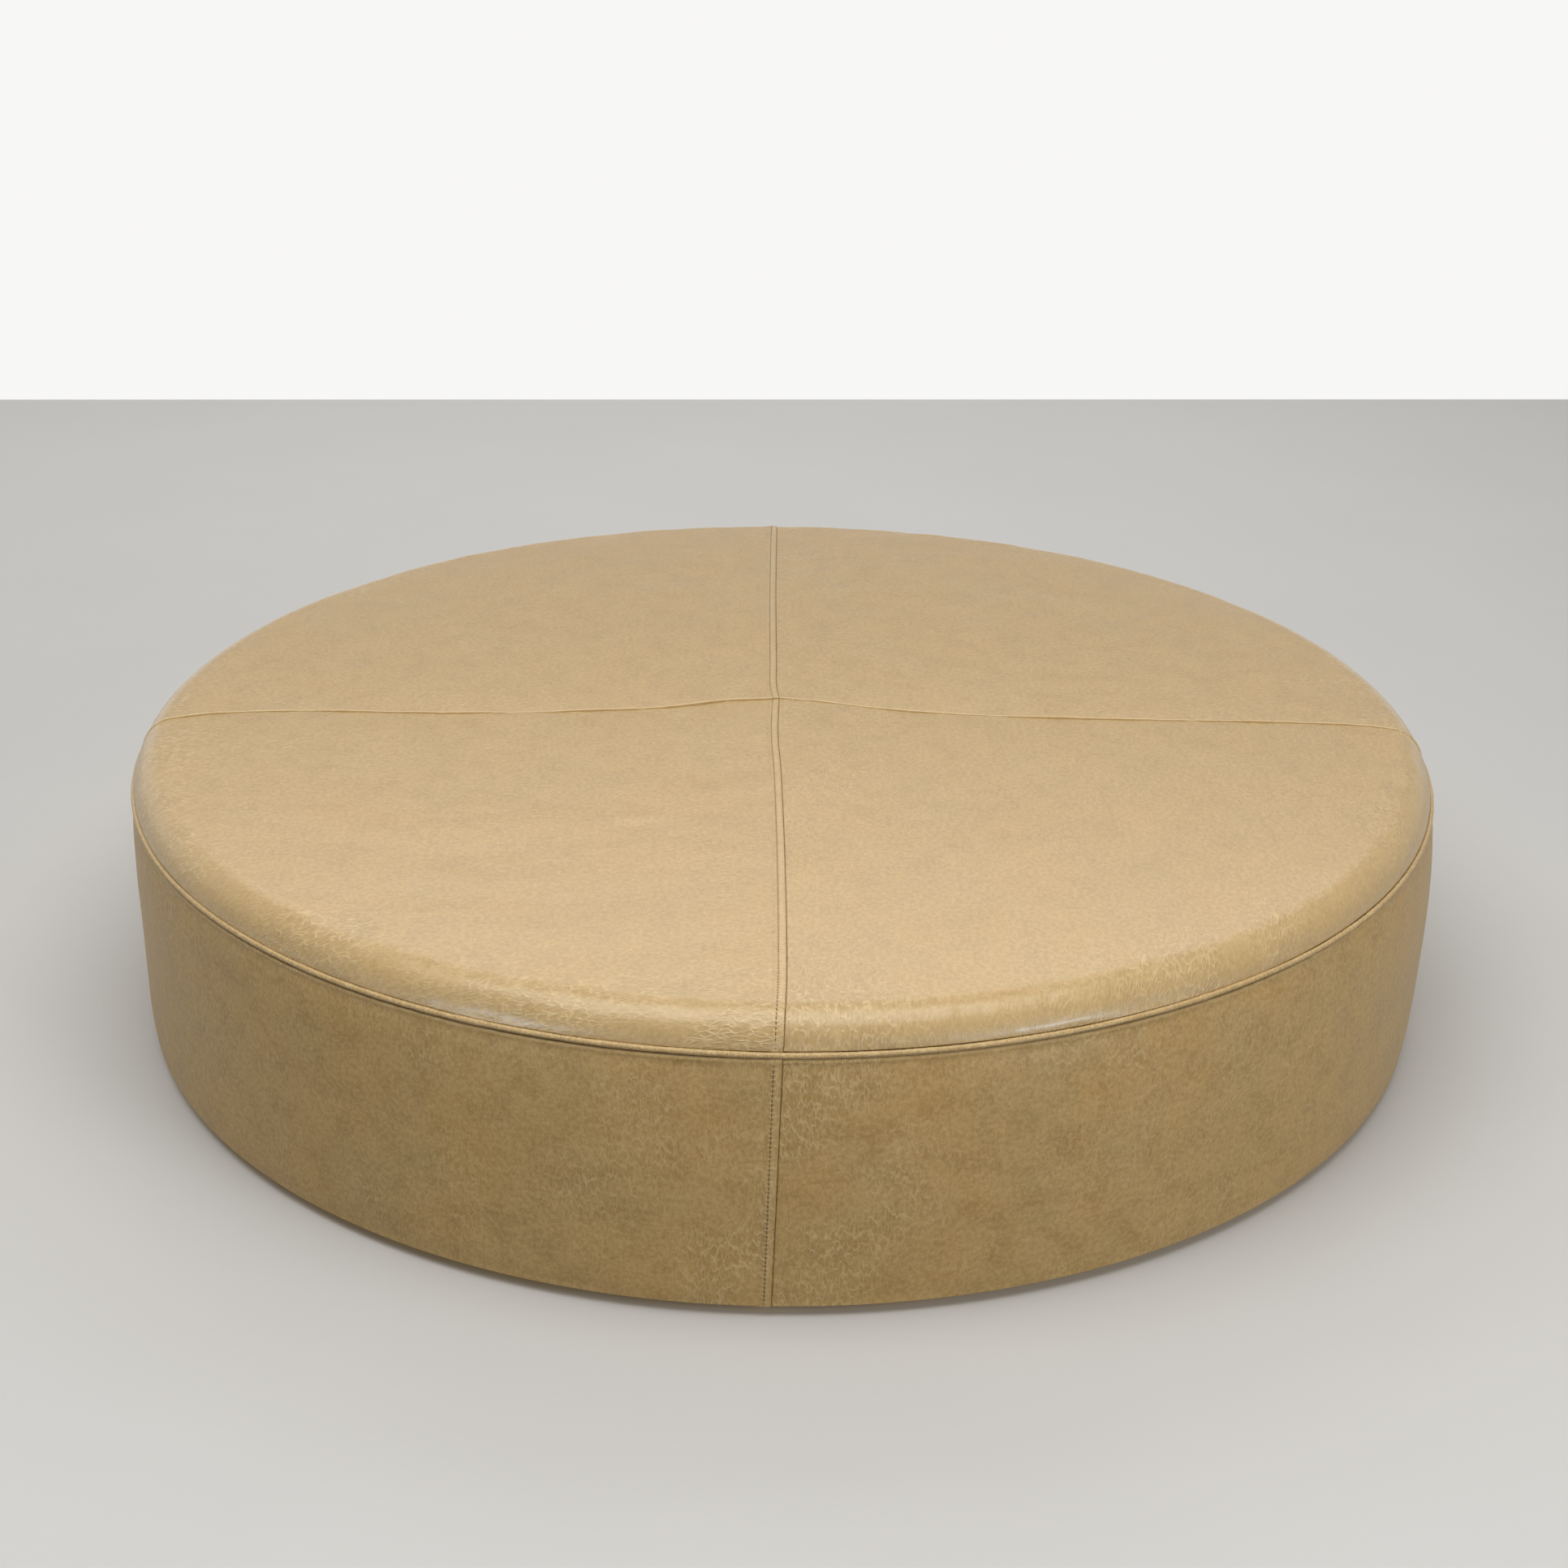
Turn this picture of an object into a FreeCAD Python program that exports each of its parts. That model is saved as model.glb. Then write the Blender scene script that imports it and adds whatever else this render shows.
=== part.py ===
import FreeCAD, Part
import math
import os
import re

import Sketcher
from FreeCAD import Placement, Rotation, Vector

# Large round cocktail ottoman in leather, millimetres. The origin is the middle of the footprint at the
# floor, +Z is up and -Y is the front. A plywood drum stands on levelling glides; foam, batting and a
# sewn leather cover go round it, with one welt where the top meets the side.

SIZES = {
    # cover
    "cover_radius": 762,
    "overall_height": 350,
    "floor_gap": 12,
    "leather": 1.5,
    "back_quarter": 94,
    "dome_rise": 20,
    "crown_inset": 1.5,
    "crown_roll": 38.5,
    "seam_allowance": 10,
    "hem_fold": 2,
    "hem_inner_radius": 715,
    # welt
    "welt_height": 292,
    "welt_ring": 761,
    "welt_radius": 3.5,
    "welt_cord_radius": 2,
    "welt_lining": 0.1,
    "fold_gap": 0.3,
    "fold_depth": 1.2,
    "fold_lift": 0.7,
    "fold_drop": 2,
    # padding
    "layer_gap": 0.25,
    "batting": 6,
    "side_foam": 12,
    "rim_bottom": 297.25,
    "side_pad_top": 285.5,
    # frame
    "base_bottom": 13.75,
    "base_ply": 18,
    "base_ring_width": 112,
    "base_segments": 4,
    "base_start": 30,
    "deck_top": 264,
    "deck_ply": 15,
    "skin_ply": 5,
    "rail_ply": 18,
    "rail_half_length": 735,
    "splice_half_width": 45,
    "splice_half_length": 700,
    "splice_ply": 18,
    "lap_gap": 0.2,
    "post_depth": 40,
    "post_width": 60,
    "post_outer": 735.5,
    # underside
    "dust_cover_radius": 735,
    "dust_cover_bottom": 11.4,
    "dust_cover_cloth": 0.5,
    "dust_cover_hole": 6,
    # levelling glides
    "glide_count": 8,
    "glide_circle": 679,
    "glide_start": 22.5,
    "pad_radius": 20,
    "pad_edge": 1.5,
    "pad_rim": 4.5,
    "pad_crown_radius": 12,
    "pad_height": 7,
    "pad_socket": 3,
    "socket_radius": 4.3,
    "stem_radius": 4,
    "stem_top": 50,
    "stem_chamfer": 1,
    "hex_corner_radius": 7.5,
    "hex_height": 4,
    "nut_bore": 4.05,
    "nut_barrel_radius": 5.5,
    "nut_barrel": 11,
    "nut_flange_radius": 11,
    "nut_flange": 1.5,
    "nut_hole": 5.6,
    # fasteners
    "staple_wire": 0.7,
    "staple_half_width": 5,
    "staple_leg": 12,
    "cover_staple_circle": 728,
    "cover_staples": 72,
    "dust_staple_circle": 721,
    "dust_staples": 48,
    "skin_staples": 36,
    "skin_staple_inset": 8,
    "screw_head_radius": 4,
    "screw_head": 3.5,
    "screw_radius": 2,
    "screw_length": 32,
    "screw_tip": 4,
    "screw_pitch": 120,
    "rail_screws": 5,
}

# anticlockwise from base_start, which is under a post
BASE_SEGMENTS = ("back", "left", "front", "right")
POST_ANGLES = (30, 60, 120, 150, 210, 240, 300, 330)
FULL_TURN = 360
HALF_TURN = 180
FRONT = 270
BACK = 90
HEXAGON = 6

doc = FreeCAD.newDocument("cocktail_ottoman")
sheet = doc.addObject("Spreadsheet::Sheet", "sizes")
for row, (alias, number) in enumerate(SIZES.items(), start=1):
    sheet.set(f"A{row}", alias)
    sheet.set(f"B{row}", str(number))
    sheet.setAlias(f"B{row}", alias)
doc.recompute()

pieces = []
holes = []


def value(expression):
    """The number that an expression over the sheet gives."""
    return float(sheet.evalExpression(named(expression)))


def named(expression):
    """An expression with its bare aliases written as cells of the sheet."""
    def cell(word):
        return f"sizes.{word[0]}" if word[0] in SIZES else word[0]

    return re.sub("[a-z_]+", cell, str(expression))


def plus(*terms):
    return " + ".join(f"( {term} )" for term in terms)


def less(first, *terms):
    return f"( {first} )" + "".join(f" - ( {term} )" for term in terms)


def keep(piece, label):
    piece.Label = label
    pieces.append(piece)
    return piece


def new_body(label):
    return keep(doc.addObject("PartDesign::Body", label), label)


def origin_feature(body, role):
    return next(item for item in body.Origin.OriginFeatures if item.Role == role)


def new_sketch(body, plane, shift):
    """A sketch on one of the body's own planes, shifted by (x, y, z) expressions in the plane's axes."""
    sketch = body.newObject("Sketcher::SketchObject", f"{body.Label}_outline")
    sketch.AttachmentSupport = [(origin_feature(body, plane), "")]
    sketch.MapMode = "FlatFace"
    for axis, amount in zip("xyz", shift):
        if amount != 0:
            sketch.setExpression(f"AttachmentOffset.Base.{axis}", named(amount))
    return sketch


def pin_point(sketch, shape, end, across, up):
    """Hold one end of a sketch shape at the given expressions."""
    origin_point = (-1, 1)
    for kind, line, amount in (("DistanceX", -2, across), ("DistanceY", -1, up)):
        if amount == 0:
            sketch.addConstraint(Sketcher.Constraint("PointOnObject", shape, end, line))
            continue
        place = sketch.addConstraint(
            Sketcher.Constraint(kind, *origin_point, shape, end, value(amount))
        )
        sketch.setExpression(f"Constraints[{place}]", named(amount))


def draw_outline(sketch, corners, arcs):
    """A closed outline through the corners. arcs gives, for the side after a corner, the radius and
    +1 or -1 for a centre to the left or right of the way round."""
    points = [Vector(value(across), value(up), 0) for across, up in corners]
    ends = []
    for index, start in enumerate(points):
        stop = points[(index + 1) % len(points)]
        if index not in arcs:
            sketch.addGeometry(Part.LineSegment(start, stop))
            ends.append((1, 2))
            continue
        radius, side = arcs[index]
        chord = stop - start
        normal = Vector(-chord.y, chord.x, 0).normalize()
        reach = math.sqrt(value(radius) ** 2 - (chord.Length / 2) ** 2)
        centre = (start + stop) * 0.5 + normal * (side * reach)
        first, last = (start, stop) if side > 0 else (stop, start)
        turns = [math.atan2(p.y - centre.y, p.x - centre.x) for p in (first, last)]
        circle = Part.Circle(centre, Vector(0, 0, 1), value(radius))
        sketch.addGeometry(Part.ArcOfCircle(circle, turns[0], turns[1]))
        ends.append((1, 2) if side > 0 else (2, 1))
    for index, (begin, finish) in enumerate(ends):
        follower = (index + 1) % len(ends)
        sketch.addConstraint(
            Sketcher.Constraint("Coincident", index, finish, follower, ends[follower][0])
        )
        pin_point(sketch, index, begin, *corners[index])
        if index in arcs:
            radius = arcs[index][0]
            place = sketch.addConstraint(Sketcher.Constraint("Radius", index, value(radius)))
            sketch.setExpression(f"Constraints[{place}]", named(radius))


def add_turned(body, corners, arcs=None, angle=FULL_TURN, centre=0, start=0):
    """Turn an outline of (radius, height) corners about the vertical line through x = centre."""
    sketch = new_sketch(body, "XZ_Plane", (centre, 0, 0))
    draw_outline(sketch, corners, arcs or {})
    turned = body.newObject("PartDesign::Revolution", f"{body.Label}_turned")
    turned.Profile = sketch
    turned.ReferenceAxis = (sketch, ["V_Axis"])
    turned.setExpression("Angle", named(angle))
    body.Placement = Placement(Vector(), Rotation(Vector(0, 0, 1), start))
    return turned


def add_pad(body, corners, plane, depth, shift=(0, 0, 0), both_ways=False):
    sketch = new_sketch(body, plane, shift)
    draw_outline(sketch, corners, {})
    return finish_pad(body, sketch, depth, both_ways)


def finish_pad(body, sketch, depth, both_ways=False):
    pad = body.newObject("PartDesign::Pad", f"{body.Label}_pad")
    pad.Profile = sketch
    pad.setExpression("Length", named(depth))
    if both_ways:
        pad.SideType = "Symmetric"
    return pad


def round_sketch(body, radius, shift, centre=(0, 0)):
    sketch = new_sketch(body, "XY_Plane", shift)
    middle = Vector(value(centre[0]), value(centre[1]), 0)
    sketch.addGeometry(Part.Circle(middle, Vector(0, 0, 1), value(radius)))
    pin_point(sketch, 0, 3, *centre)
    place = sketch.addConstraint(Sketcher.Constraint("Radius", 0, value(radius)))
    sketch.setExpression(f"Constraints[{place}]", named(radius))
    return sketch


def add_disc(body, radius, depth, bottom, centre=(0, 0)):
    return finish_pad(body, round_sketch(body, radius, (0, 0, bottom), centre), depth)


def add_hole(body, radius, bottom, depth, centre):
    """A round hole cut upwards from the height bottom."""
    hole = body.newObject("PartDesign::Pocket", f"{body.Label}_hole")
    hole.Profile = round_sketch(body, radius, (0, 0, bottom), centre)
    hole.setExpression("Length", named(depth))
    hole.Reversed = True
    holes.append(hole)
    return hole


def add_ring_of(body, features, count, angle=FULL_TURN):
    """Repeat features about the Z axis: count of them, equally spaced over angle."""
    ring = body.newObject("PartDesign::PolarPattern", f"{body.Label}_ring")
    ring.Originals = features
    ring.Axis = (origin_feature(body, "Z_Axis"), [""])
    ring.setExpression("Angle", named(angle))
    ring.setExpression("Occurrences", named(count))
    body.Tip = ring
    return ring


def band(label, inner, outer, bottom, top, angle=FULL_TURN, start=0):
    """A plain ring, disc or part of one with a rectangular section."""
    body = new_body(label)
    corners = [(inner, bottom), (outer, bottom), (outer, top), (inner, top)]
    add_turned(body, corners, angle=angle, start=start)
    return body


# ---- crown: a shallow dome that rolls over a tighter arc down to the welt -------------------------

ROLL_CENTRE = "( cover_radius - crown_inset - crown_roll )"
ROLL_CENTRE_UP = "( overall_height - dome_rise - crown_roll )"
CENTRE_GAP = f"( {ROLL_CENTRE} * {ROLL_CENTRE} / ( 2 * dome_rise ) + dome_rise / 2 )"


def roll_radius(depth):
    return f"( crown_roll - ( {depth} ) )"


def dome_radius(depth):
    return f"( {CENTRE_GAP} + {roll_radius(depth)} )"


def crown_top(depth):
    """The middle of the dome, at a depth under the leather's face."""
    return (0, f"overall_height - ( {depth} )")


def crown_shoulder(depth):
    """Where the dome's arc runs into the roll's."""
    across = f"{ROLL_CENTRE} + {roll_radius(depth)} * {ROLL_CENTRE} / {CENTRE_GAP}"
    up = f"{ROLL_CENTRE_UP} + {roll_radius(depth)} * ( 1 - dome_rise / {CENTRE_GAP} )"
    return (across, up)


def crown_edge(depth, height):
    """Where the roll's arc comes down to a height."""
    drop = f"( ( {height} ) - {ROLL_CENTRE_UP} )"
    across = f"{ROLL_CENTRE} + sqrt( {roll_radius(depth)} * {roll_radius(depth)} - {drop} * {drop} )"
    return (across, height)


def cover_quarters():
    """Each quarter of the cover: its name, where it starts and how far it turns, in degrees from +X."""
    back = SIZES["back_quarter"]
    return (
        ("back_right", BACK - back, "back_quarter"),
        ("back_left", BACK, "back_quarter"),
        ("front_left", BACK + back, less(HALF_TURN, "back_quarter")),
        ("front_right", FRONT, less(HALF_TURN, "back_quarter")),
    )


def top_panels():
    """Four leather quarters, each turned in over the welt's seam allowance."""
    flange_bottom = "welt_height + leather"
    flange_inner = "welt_ring - welt_radius - seam_allowance"
    flange_outer = "welt_ring - welt_radius - fold_gap"
    corners = [
        crown_top(0),
        crown_shoulder(0),
        crown_edge(0, "welt_height + welt_radius + fold_lift"),
        (flange_outer, flange_bottom),
        (flange_inner, flange_bottom),
        (flange_inner, plus(flange_bottom, "leather")),
        (less(flange_outer, "fold_depth"), plus(flange_bottom, "leather")),
        crown_edge("leather", "welt_height + welt_radius + leather"),
        crown_shoulder("leather"),
        crown_top("leather"),
    ]
    arcs = {
        0: (dome_radius(0), -1),
        1: (roll_radius(0), -1),
        7: (roll_radius("leather"), 1),
        8: (dome_radius("leather"), 1),
    }
    for quarter, start, angle in cover_quarters():
        add_turned(new_body(f"top_panel_{quarter}"), corners, arcs, angle, start=start)


def side_panels():
    """Four leather quarters of the side, turned in under the welt and under the base."""
    inner = "cover_radius - leather"
    flange_inner = "welt_ring - welt_radius - seam_allowance"
    flange_outer = "welt_ring - welt_radius - fold_gap"
    flange_top = "welt_height - leather"
    shoulder = "welt_height - welt_radius - fold_drop"
    corners = [
        ("hem_inner_radius", "floor_gap"),
        (less("cover_radius", "hem_fold"), "floor_gap"),
        ("cover_radius", plus("floor_gap", "hem_fold")),
        ("cover_radius", shoulder),
        (flange_outer, flange_top),
        (flange_inner, flange_top),
        (flange_inner, less(flange_top, "leather")),
        (less(flange_outer, "fold_depth"), less(flange_top, "leather")),
        (inner, less(shoulder, "leather / 2")),
        (inner, plus("floor_gap", "hem_fold")),
        (less("cover_radius", "hem_fold"), plus("floor_gap", "leather")),
        ("hem_inner_radius", plus("floor_gap", "leather")),
    ]
    arcs = {1: ("hem_fold", 1), 9: (less("hem_fold", "leather"), -1)}
    for quarter, start, angle in cover_quarters():
        add_turned(new_body(f"side_panel_{quarter}"), corners, arcs, angle, start=start)


def torus(name, ring, section):
    shape = doc.addObject("Part::Torus", name)
    shape.setExpression("Radius1", named(ring))
    shape.setExpression("Radius2", named(section))
    shape.setExpression("Placement.Base.z", named("welt_height"))
    return shape


def cylinder(name, radius, bottom, depth):
    shape = doc.addObject("Part::Cylinder", name)
    shape.setExpression("Radius", named(radius))
    shape.setExpression("Height", named(depth))
    shape.setExpression("Placement.Base.z", named(bottom))
    return shape


def combined(kind, name, base, tool):
    shape = doc.addObject(kind, name)
    shape.Base = base
    shape.Tool = tool
    return shape


def welt():
    """A leather strip sewn round a cord, with its two allowances running inwards between the panels."""
    bottom = "welt_height - leather"
    depth = "2 * leather"
    outer = cylinder("welt_tongue_outer", "welt_ring", bottom, depth)
    inner = cylinder("welt_tongue_inner", "welt_ring - welt_radius - seam_allowance", bottom, depth)
    tongue = combined("Part::Cut", "welt_tongue", outer, inner)
    bead = torus("welt_bead", "welt_ring", "welt_radius")
    bore = torus("welt_bore", "welt_ring", "welt_cord_radius + welt_lining")
    strip = combined("Part::Fuse", "welt_strip", bead, tongue)
    keep(combined("Part::Cut", "welt_cover", strip, bore), "welt_cover")
    keep(torus("welt_cord", "welt_ring", "welt_cord_radius"), "welt_cord")


# ---- padding, each layer a small gap inside the one outside it -----------------------------------

BATTING_DEPTH = "( leather + layer_gap )"
FOAM_DEPTH = f"( {BATTING_DEPTH} + batting + layer_gap )"
BATTING_OUTER = f"( cover_radius - {BATTING_DEPTH} )"
FOAM_OUTER = f"( cover_radius - {FOAM_DEPTH} )"
SKIN_OUTER = f"( {FOAM_OUTER} - side_foam - layer_gap )"
FRAME_RADIUS = f"( {SKIN_OUTER} - skin_ply - layer_gap )"


def padding():
    top_batting = new_body("top_batting")
    corners = [
        crown_top(BATTING_DEPTH),
        crown_shoulder(BATTING_DEPTH),
        crown_edge(BATTING_DEPTH, "rim_bottom"),
        crown_edge(plus(BATTING_DEPTH, "batting"), "rim_bottom"),
        crown_shoulder(plus(BATTING_DEPTH, "batting")),
        crown_top(plus(BATTING_DEPTH, "batting")),
    ]
    arcs = {
        0: (dome_radius(BATTING_DEPTH), -1),
        1: (roll_radius(BATTING_DEPTH), -1),
        3: (roll_radius(plus(BATTING_DEPTH, "batting")), 1),
        4: (dome_radius(plus(BATTING_DEPTH, "batting")), 1),
    }
    add_turned(top_batting, corners, arcs)

    top_foam = new_body("top_foam")
    seat = plus("deck_top", "layer_gap")
    corners = [
        crown_top(FOAM_DEPTH),
        crown_shoulder(FOAM_DEPTH),
        crown_edge(FOAM_DEPTH, "rim_bottom"),
        (SKIN_OUTER, "rim_bottom"),
        (SKIN_OUTER, seat),
        (0, seat),
    ]
    arcs = {0: (dome_radius(FOAM_DEPTH), -1), 1: (roll_radius(FOAM_DEPTH), -1)}
    add_turned(top_foam, corners, arcs)

    band("side_batting", less(BATTING_OUTER, "batting"), BATTING_OUTER, "base_bottom", "side_pad_top")
    band("side_foam", less(FOAM_OUTER, "side_foam"), FOAM_OUTER, "base_bottom", "side_pad_top")


# ---- plywood frame --------------------------------------------------------------------------------

BASE_TOP = "( base_bottom + base_ply )"
DECK_BOTTOM = "( deck_top - deck_ply )"
SPLICE_BOTTOM = f"( {DECK_BOTTOM} - splice_ply )"
GLIDE_SEAT = ("glide_circle * cos( glide_start )", "glide_circle * sin( glide_start )")


def base_ring():
    """Four segments, butted under posts, each with the holes of two glides."""
    inner = less(FRAME_RADIUS, "base_ring_width")
    turn = "( glide_start + 360 / glide_count - base_start )"
    seat = (f"glide_circle * cos( {turn} )", f"glide_circle * sin( {turn} )")
    for index, side in enumerate(BASE_SEGMENTS):
        start = SIZES["base_start"] + index * FULL_TURN / len(BASE_SEGMENTS)
        label = f"base_{side}"
        body = band(label, inner, FRAME_RADIUS, "base_bottom", BASE_TOP, "360 / base_segments", start)
        hole = add_hole(body, "nut_hole", "base_bottom", "base_ply", seat)
        add_ring_of(body, [hole], "glide_count / base_segments", "360 / glide_count")


def posts():
    for number, angle in enumerate(POST_ANGLES, start=1):
        body = new_body(f"post_{number}")
        inner = less("post_outer", "post_depth")
        half = "post_width / 2"
        corners = [
            (inner, f"0 - {half}"),
            ("post_outer", f"0 - {half}"),
            ("post_outer", half),
            (inner, half),
        ]
        add_pad(body, corners, "XY_Plane", less(DECK_BOTTOM, BASE_TOP), (0, 0, BASE_TOP))
        body.Placement = Placement(Vector(), Rotation(Vector(0, 0, 1), angle))


def rails():
    """Two webs on edge, halved over each other where they cross."""
    half_lap = f"( {BASE_TOP} + {SPLICE_BOTTOM} ) / 2"
    slot = "( rail_ply / 2 + lap_gap )"
    notch = "( splice_half_width + lap_gap )"
    ends = "rail_half_length"
    rail_x = new_body("rail_x")
    corners = [
        (f"0 - {ends}", BASE_TOP),
        (ends, BASE_TOP),
        (ends, DECK_BOTTOM),
        (notch, DECK_BOTTOM),
        (notch, SPLICE_BOTTOM),
        (slot, SPLICE_BOTTOM),
        (slot, half_lap),
        (f"0 - {slot}", half_lap),
        (f"0 - {slot}", SPLICE_BOTTOM),
        (f"0 - {notch}", SPLICE_BOTTOM),
        (f"0 - {notch}", DECK_BOTTOM),
        (f"0 - {ends}", DECK_BOTTOM),
    ]
    add_pad(rail_x, corners, "XZ_Plane", "rail_ply", both_ways=True)
    rail_y = new_body("rail_y")
    corners = [
        (f"0 - {ends}", BASE_TOP),
        (f"0 - {slot}", BASE_TOP),
        (f"0 - {slot}", half_lap),
        (slot, half_lap),
        (slot, BASE_TOP),
        (ends, BASE_TOP),
        (ends, SPLICE_BOTTOM),
        (f"0 - {ends}", SPLICE_BOTTOM),
    ]
    add_pad(rail_y, corners, "YZ_Plane", "rail_ply", both_ways=True)


def deck():
    """Two half discs that meet along the Y axis, over a splice batten."""
    for index, side in enumerate(("right", "left")):
        start = HALF_TURN * index - BACK
        band(f"deck_{side}", 0, FRAME_RADIUS, DECK_BOTTOM, "deck_top", HALF_TURN, start)
    splice = new_body("deck_splice")
    across, along = "splice_half_width", "splice_half_length"
    corners = [
        (f"0 - {across}", f"0 - {along}"),
        (across, f"0 - {along}"),
        (across, along),
        (f"0 - {across}", along),
    ]
    add_pad(splice, corners, "XY_Plane", "splice_ply", (0, 0, SPLICE_BOTTOM))


def skin():
    """Bending plywood in two halves, wrapped round the base ring, the posts and the deck."""
    inner = less(SKIN_OUTER, "skin_ply")
    for index, side in enumerate(("back", "front")):
        start = HALF_TURN * index
        band(f"skin_{side}", inner, SKIN_OUTER, "base_bottom", "deck_top", HALF_TURN, start)


def dust_cover():
    body = new_body("dust_cover")
    add_disc(body, "dust_cover_radius", "dust_cover_cloth", "dust_cover_bottom")
    hole = add_hole(body, "dust_cover_hole", "dust_cover_bottom", "dust_cover_cloth", GLIDE_SEAT)
    add_ring_of(body, [hole], "glide_count")


# ---- levelling glides -----------------------------------------------------------------------------


def tee_nuts():
    body = new_body("tee_nuts")
    flange_bottom = "base_bottom - nut_flange"
    flange = add_disc(body, "nut_flange_radius", "nut_flange", flange_bottom, GLIDE_SEAT)
    barrel = add_disc(body, "nut_barrel_radius", "nut_barrel", "base_bottom", GLIDE_SEAT)
    bore = add_hole(body, "nut_bore", flange_bottom, "nut_flange + nut_barrel", GLIDE_SEAT)
    add_ring_of(body, [flange, barrel, bore], "glide_count")


def glides():
    """Each glide is a round foot on a stem with a spanner hexagon under the base."""
    foot = [
        (0, 0),
        ("pad_radius - pad_edge", 0),
        ("pad_radius", "pad_edge"),
        ("pad_radius", "pad_rim"),
        ("pad_crown_radius", "pad_height"),
        ("socket_radius", "pad_height"),
        ("socket_radius", "pad_socket"),
        (0, "pad_socket"),
    ]
    stem = [
        (0, "pad_socket"),
        ("stem_radius", "pad_socket"),
        ("stem_radius", "stem_top - stem_chamfer"),
        ("stem_radius - stem_chamfer", "stem_top"),
        (0, "stem_top"),
    ]
    step = FULL_TURN / HEXAGON
    hexagon = [
        (f"glide_circle + hex_corner_radius * cos( {step * side} )",
         f"hex_corner_radius * sin( {step * side} )" if side % (HEXAGON / 2) else 0)
        for side in range(HEXAGON)
    ]
    count = SIZES["glide_count"]
    for number in range(count):
        angle = SIZES["glide_start"] + number * FULL_TURN / count
        add_turned(new_body(f"glide_pad_{number + 1}"), foot, centre="glide_circle", start=angle)
        body = new_body(f"glide_stem_{number + 1}")
        add_turned(body, stem, centre="glide_circle", start=angle)
        add_pad(body, hexagon, "XY_Plane", "hex_height", (0, 0, "pad_height"))


# ---- fasteners ------------------------------------------------------------------------------------


def staple_outline(crown, way):
    """A staple's U, its crown's outer edge at crown and its legs running way (+1 or -1) from it."""
    half, wire = "staple_half_width", "staple_wire"
    tip = f"{crown} + {way} * staple_leg"
    under = f"{crown} + {way} * {wire}"
    return [
        (f"0 - {half}", crown),
        (half, crown),
        (half, tip),
        (f"{half} - {wire}", tip),
        (f"{half} - {wire}", under),
        (f"{wire} - {half}", under),
        (f"{wire} - {half}", tip),
        (f"0 - {half}", tip),
    ]


def underside_staples(label, circle, crown, count):
    """Staples driven up round the underside, their crowns along the edge."""
    body = new_body(label)
    outline = staple_outline(crown, 1)
    staple = add_pad(body, outline, "YZ_Plane", "staple_wire", (0, 0, circle), both_ways=True)
    add_ring_of(body, [staple], count)


def skin_staples():
    """Two rows that hold the skin to the base ring and to the deck's edge."""
    body = new_body("skin_staples")
    outline = [(across, up) for up, across in staple_outline(SKIN_OUTER, -1)]
    rows = (plus("base_bottom", "skin_staple_inset"), less("deck_top", "skin_staple_inset"))
    staples = [
        add_pad(body, outline, "XY_Plane", "staple_wire", (0, 0, height)) for height in rows
    ]
    add_ring_of(body, staples, "skin_staples")


def wood_screw(way):
    """A countersunk screw with its head's face at the origin, pointing way (+1 up, -1 down)."""
    head = sheet.get("screw_head_radius")
    shank = sheet.get("screw_radius")
    depth = sheet.get("screw_head")
    tip = sheet.get("screw_tip")
    end = sheet.get("screw_length")
    profile = [(0, 0), (head, 0), (shank, depth), (shank, end - tip), (0, end)]
    wire = Part.makePolygon([Vector(across, 0, way * up) for across, up in profile + profile[:1]])
    return Part.Face(wire).revolve(Vector(), Vector(0, 0, 1), FULL_TURN)


def screws(label, seats, height, way):
    """A group of identical screws with their heads at the (x, y) seats."""
    screw = wood_screw(way)
    group = doc.addObject("Part::Feature", label)
    group.Shape = Part.makeCompound([screw.translated(Vector(x, y, 0)) for x, y in seats])
    group.Placement = Placement(Vector(0, 0, height), Rotation())
    keep(group, label)


def polar_seats(radius, angles, spread):
    """Two seats to each angle, spread to either side of it."""
    seats = []
    for angle in angles:
        turn = Rotation(Vector(0, 0, 1), angle)
        for side in (-spread, spread):
            seat = turn.multVec(Vector(radius, side, 0))
            seats.append((seat.x, seat.y))
    return seats


def frame_screws():
    post_middle = value("post_outer - post_depth / 2")
    post_spread = value("post_width / 4")
    splice_row = value("splice_half_width / 2")
    rail_steps = [number * SIZES["screw_pitch"] for number in range(1, SIZES["rail_screws"] + 1)]
    deck_seats = polar_seats(post_middle, POST_ANGLES, post_spread)
    deck_seats += [(side * step, 0) for side in (-1, 1) for step in rail_steps]
    rows = [-step for step in rail_steps] + [0] + rail_steps
    deck_seats += [(side * splice_row, row) for side in (-1, 1) for row in rows]
    screws("deck_screws", deck_seats, value("deck_top"), -1)
    rail_end = value("rail_half_length") - value("base_ring_width") / 2
    base_seats = polar_seats(post_middle, POST_ANGLES, post_spread)
    base_seats += [(rail_end * x, rail_end * y) for x, y in ((1, 0), (0, 1), (-1, 0), (0, -1))]
    screws("base_screws", base_seats, value("base_bottom"), 1)


top_panels()
side_panels()
welt()
padding()
base_ring()
posts()
rails()
deck()
skin()
dust_cover()
tee_nuts()
glides()
underside_staples("cover_staples", "cover_staple_circle", "floor_gap", "cover_staples")
underside_staples("dust_cover_staples", "dust_staple_circle", "dust_cover_bottom", "dust_staples")
skin_staples()
frame_screws()
doc.recompute()

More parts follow.
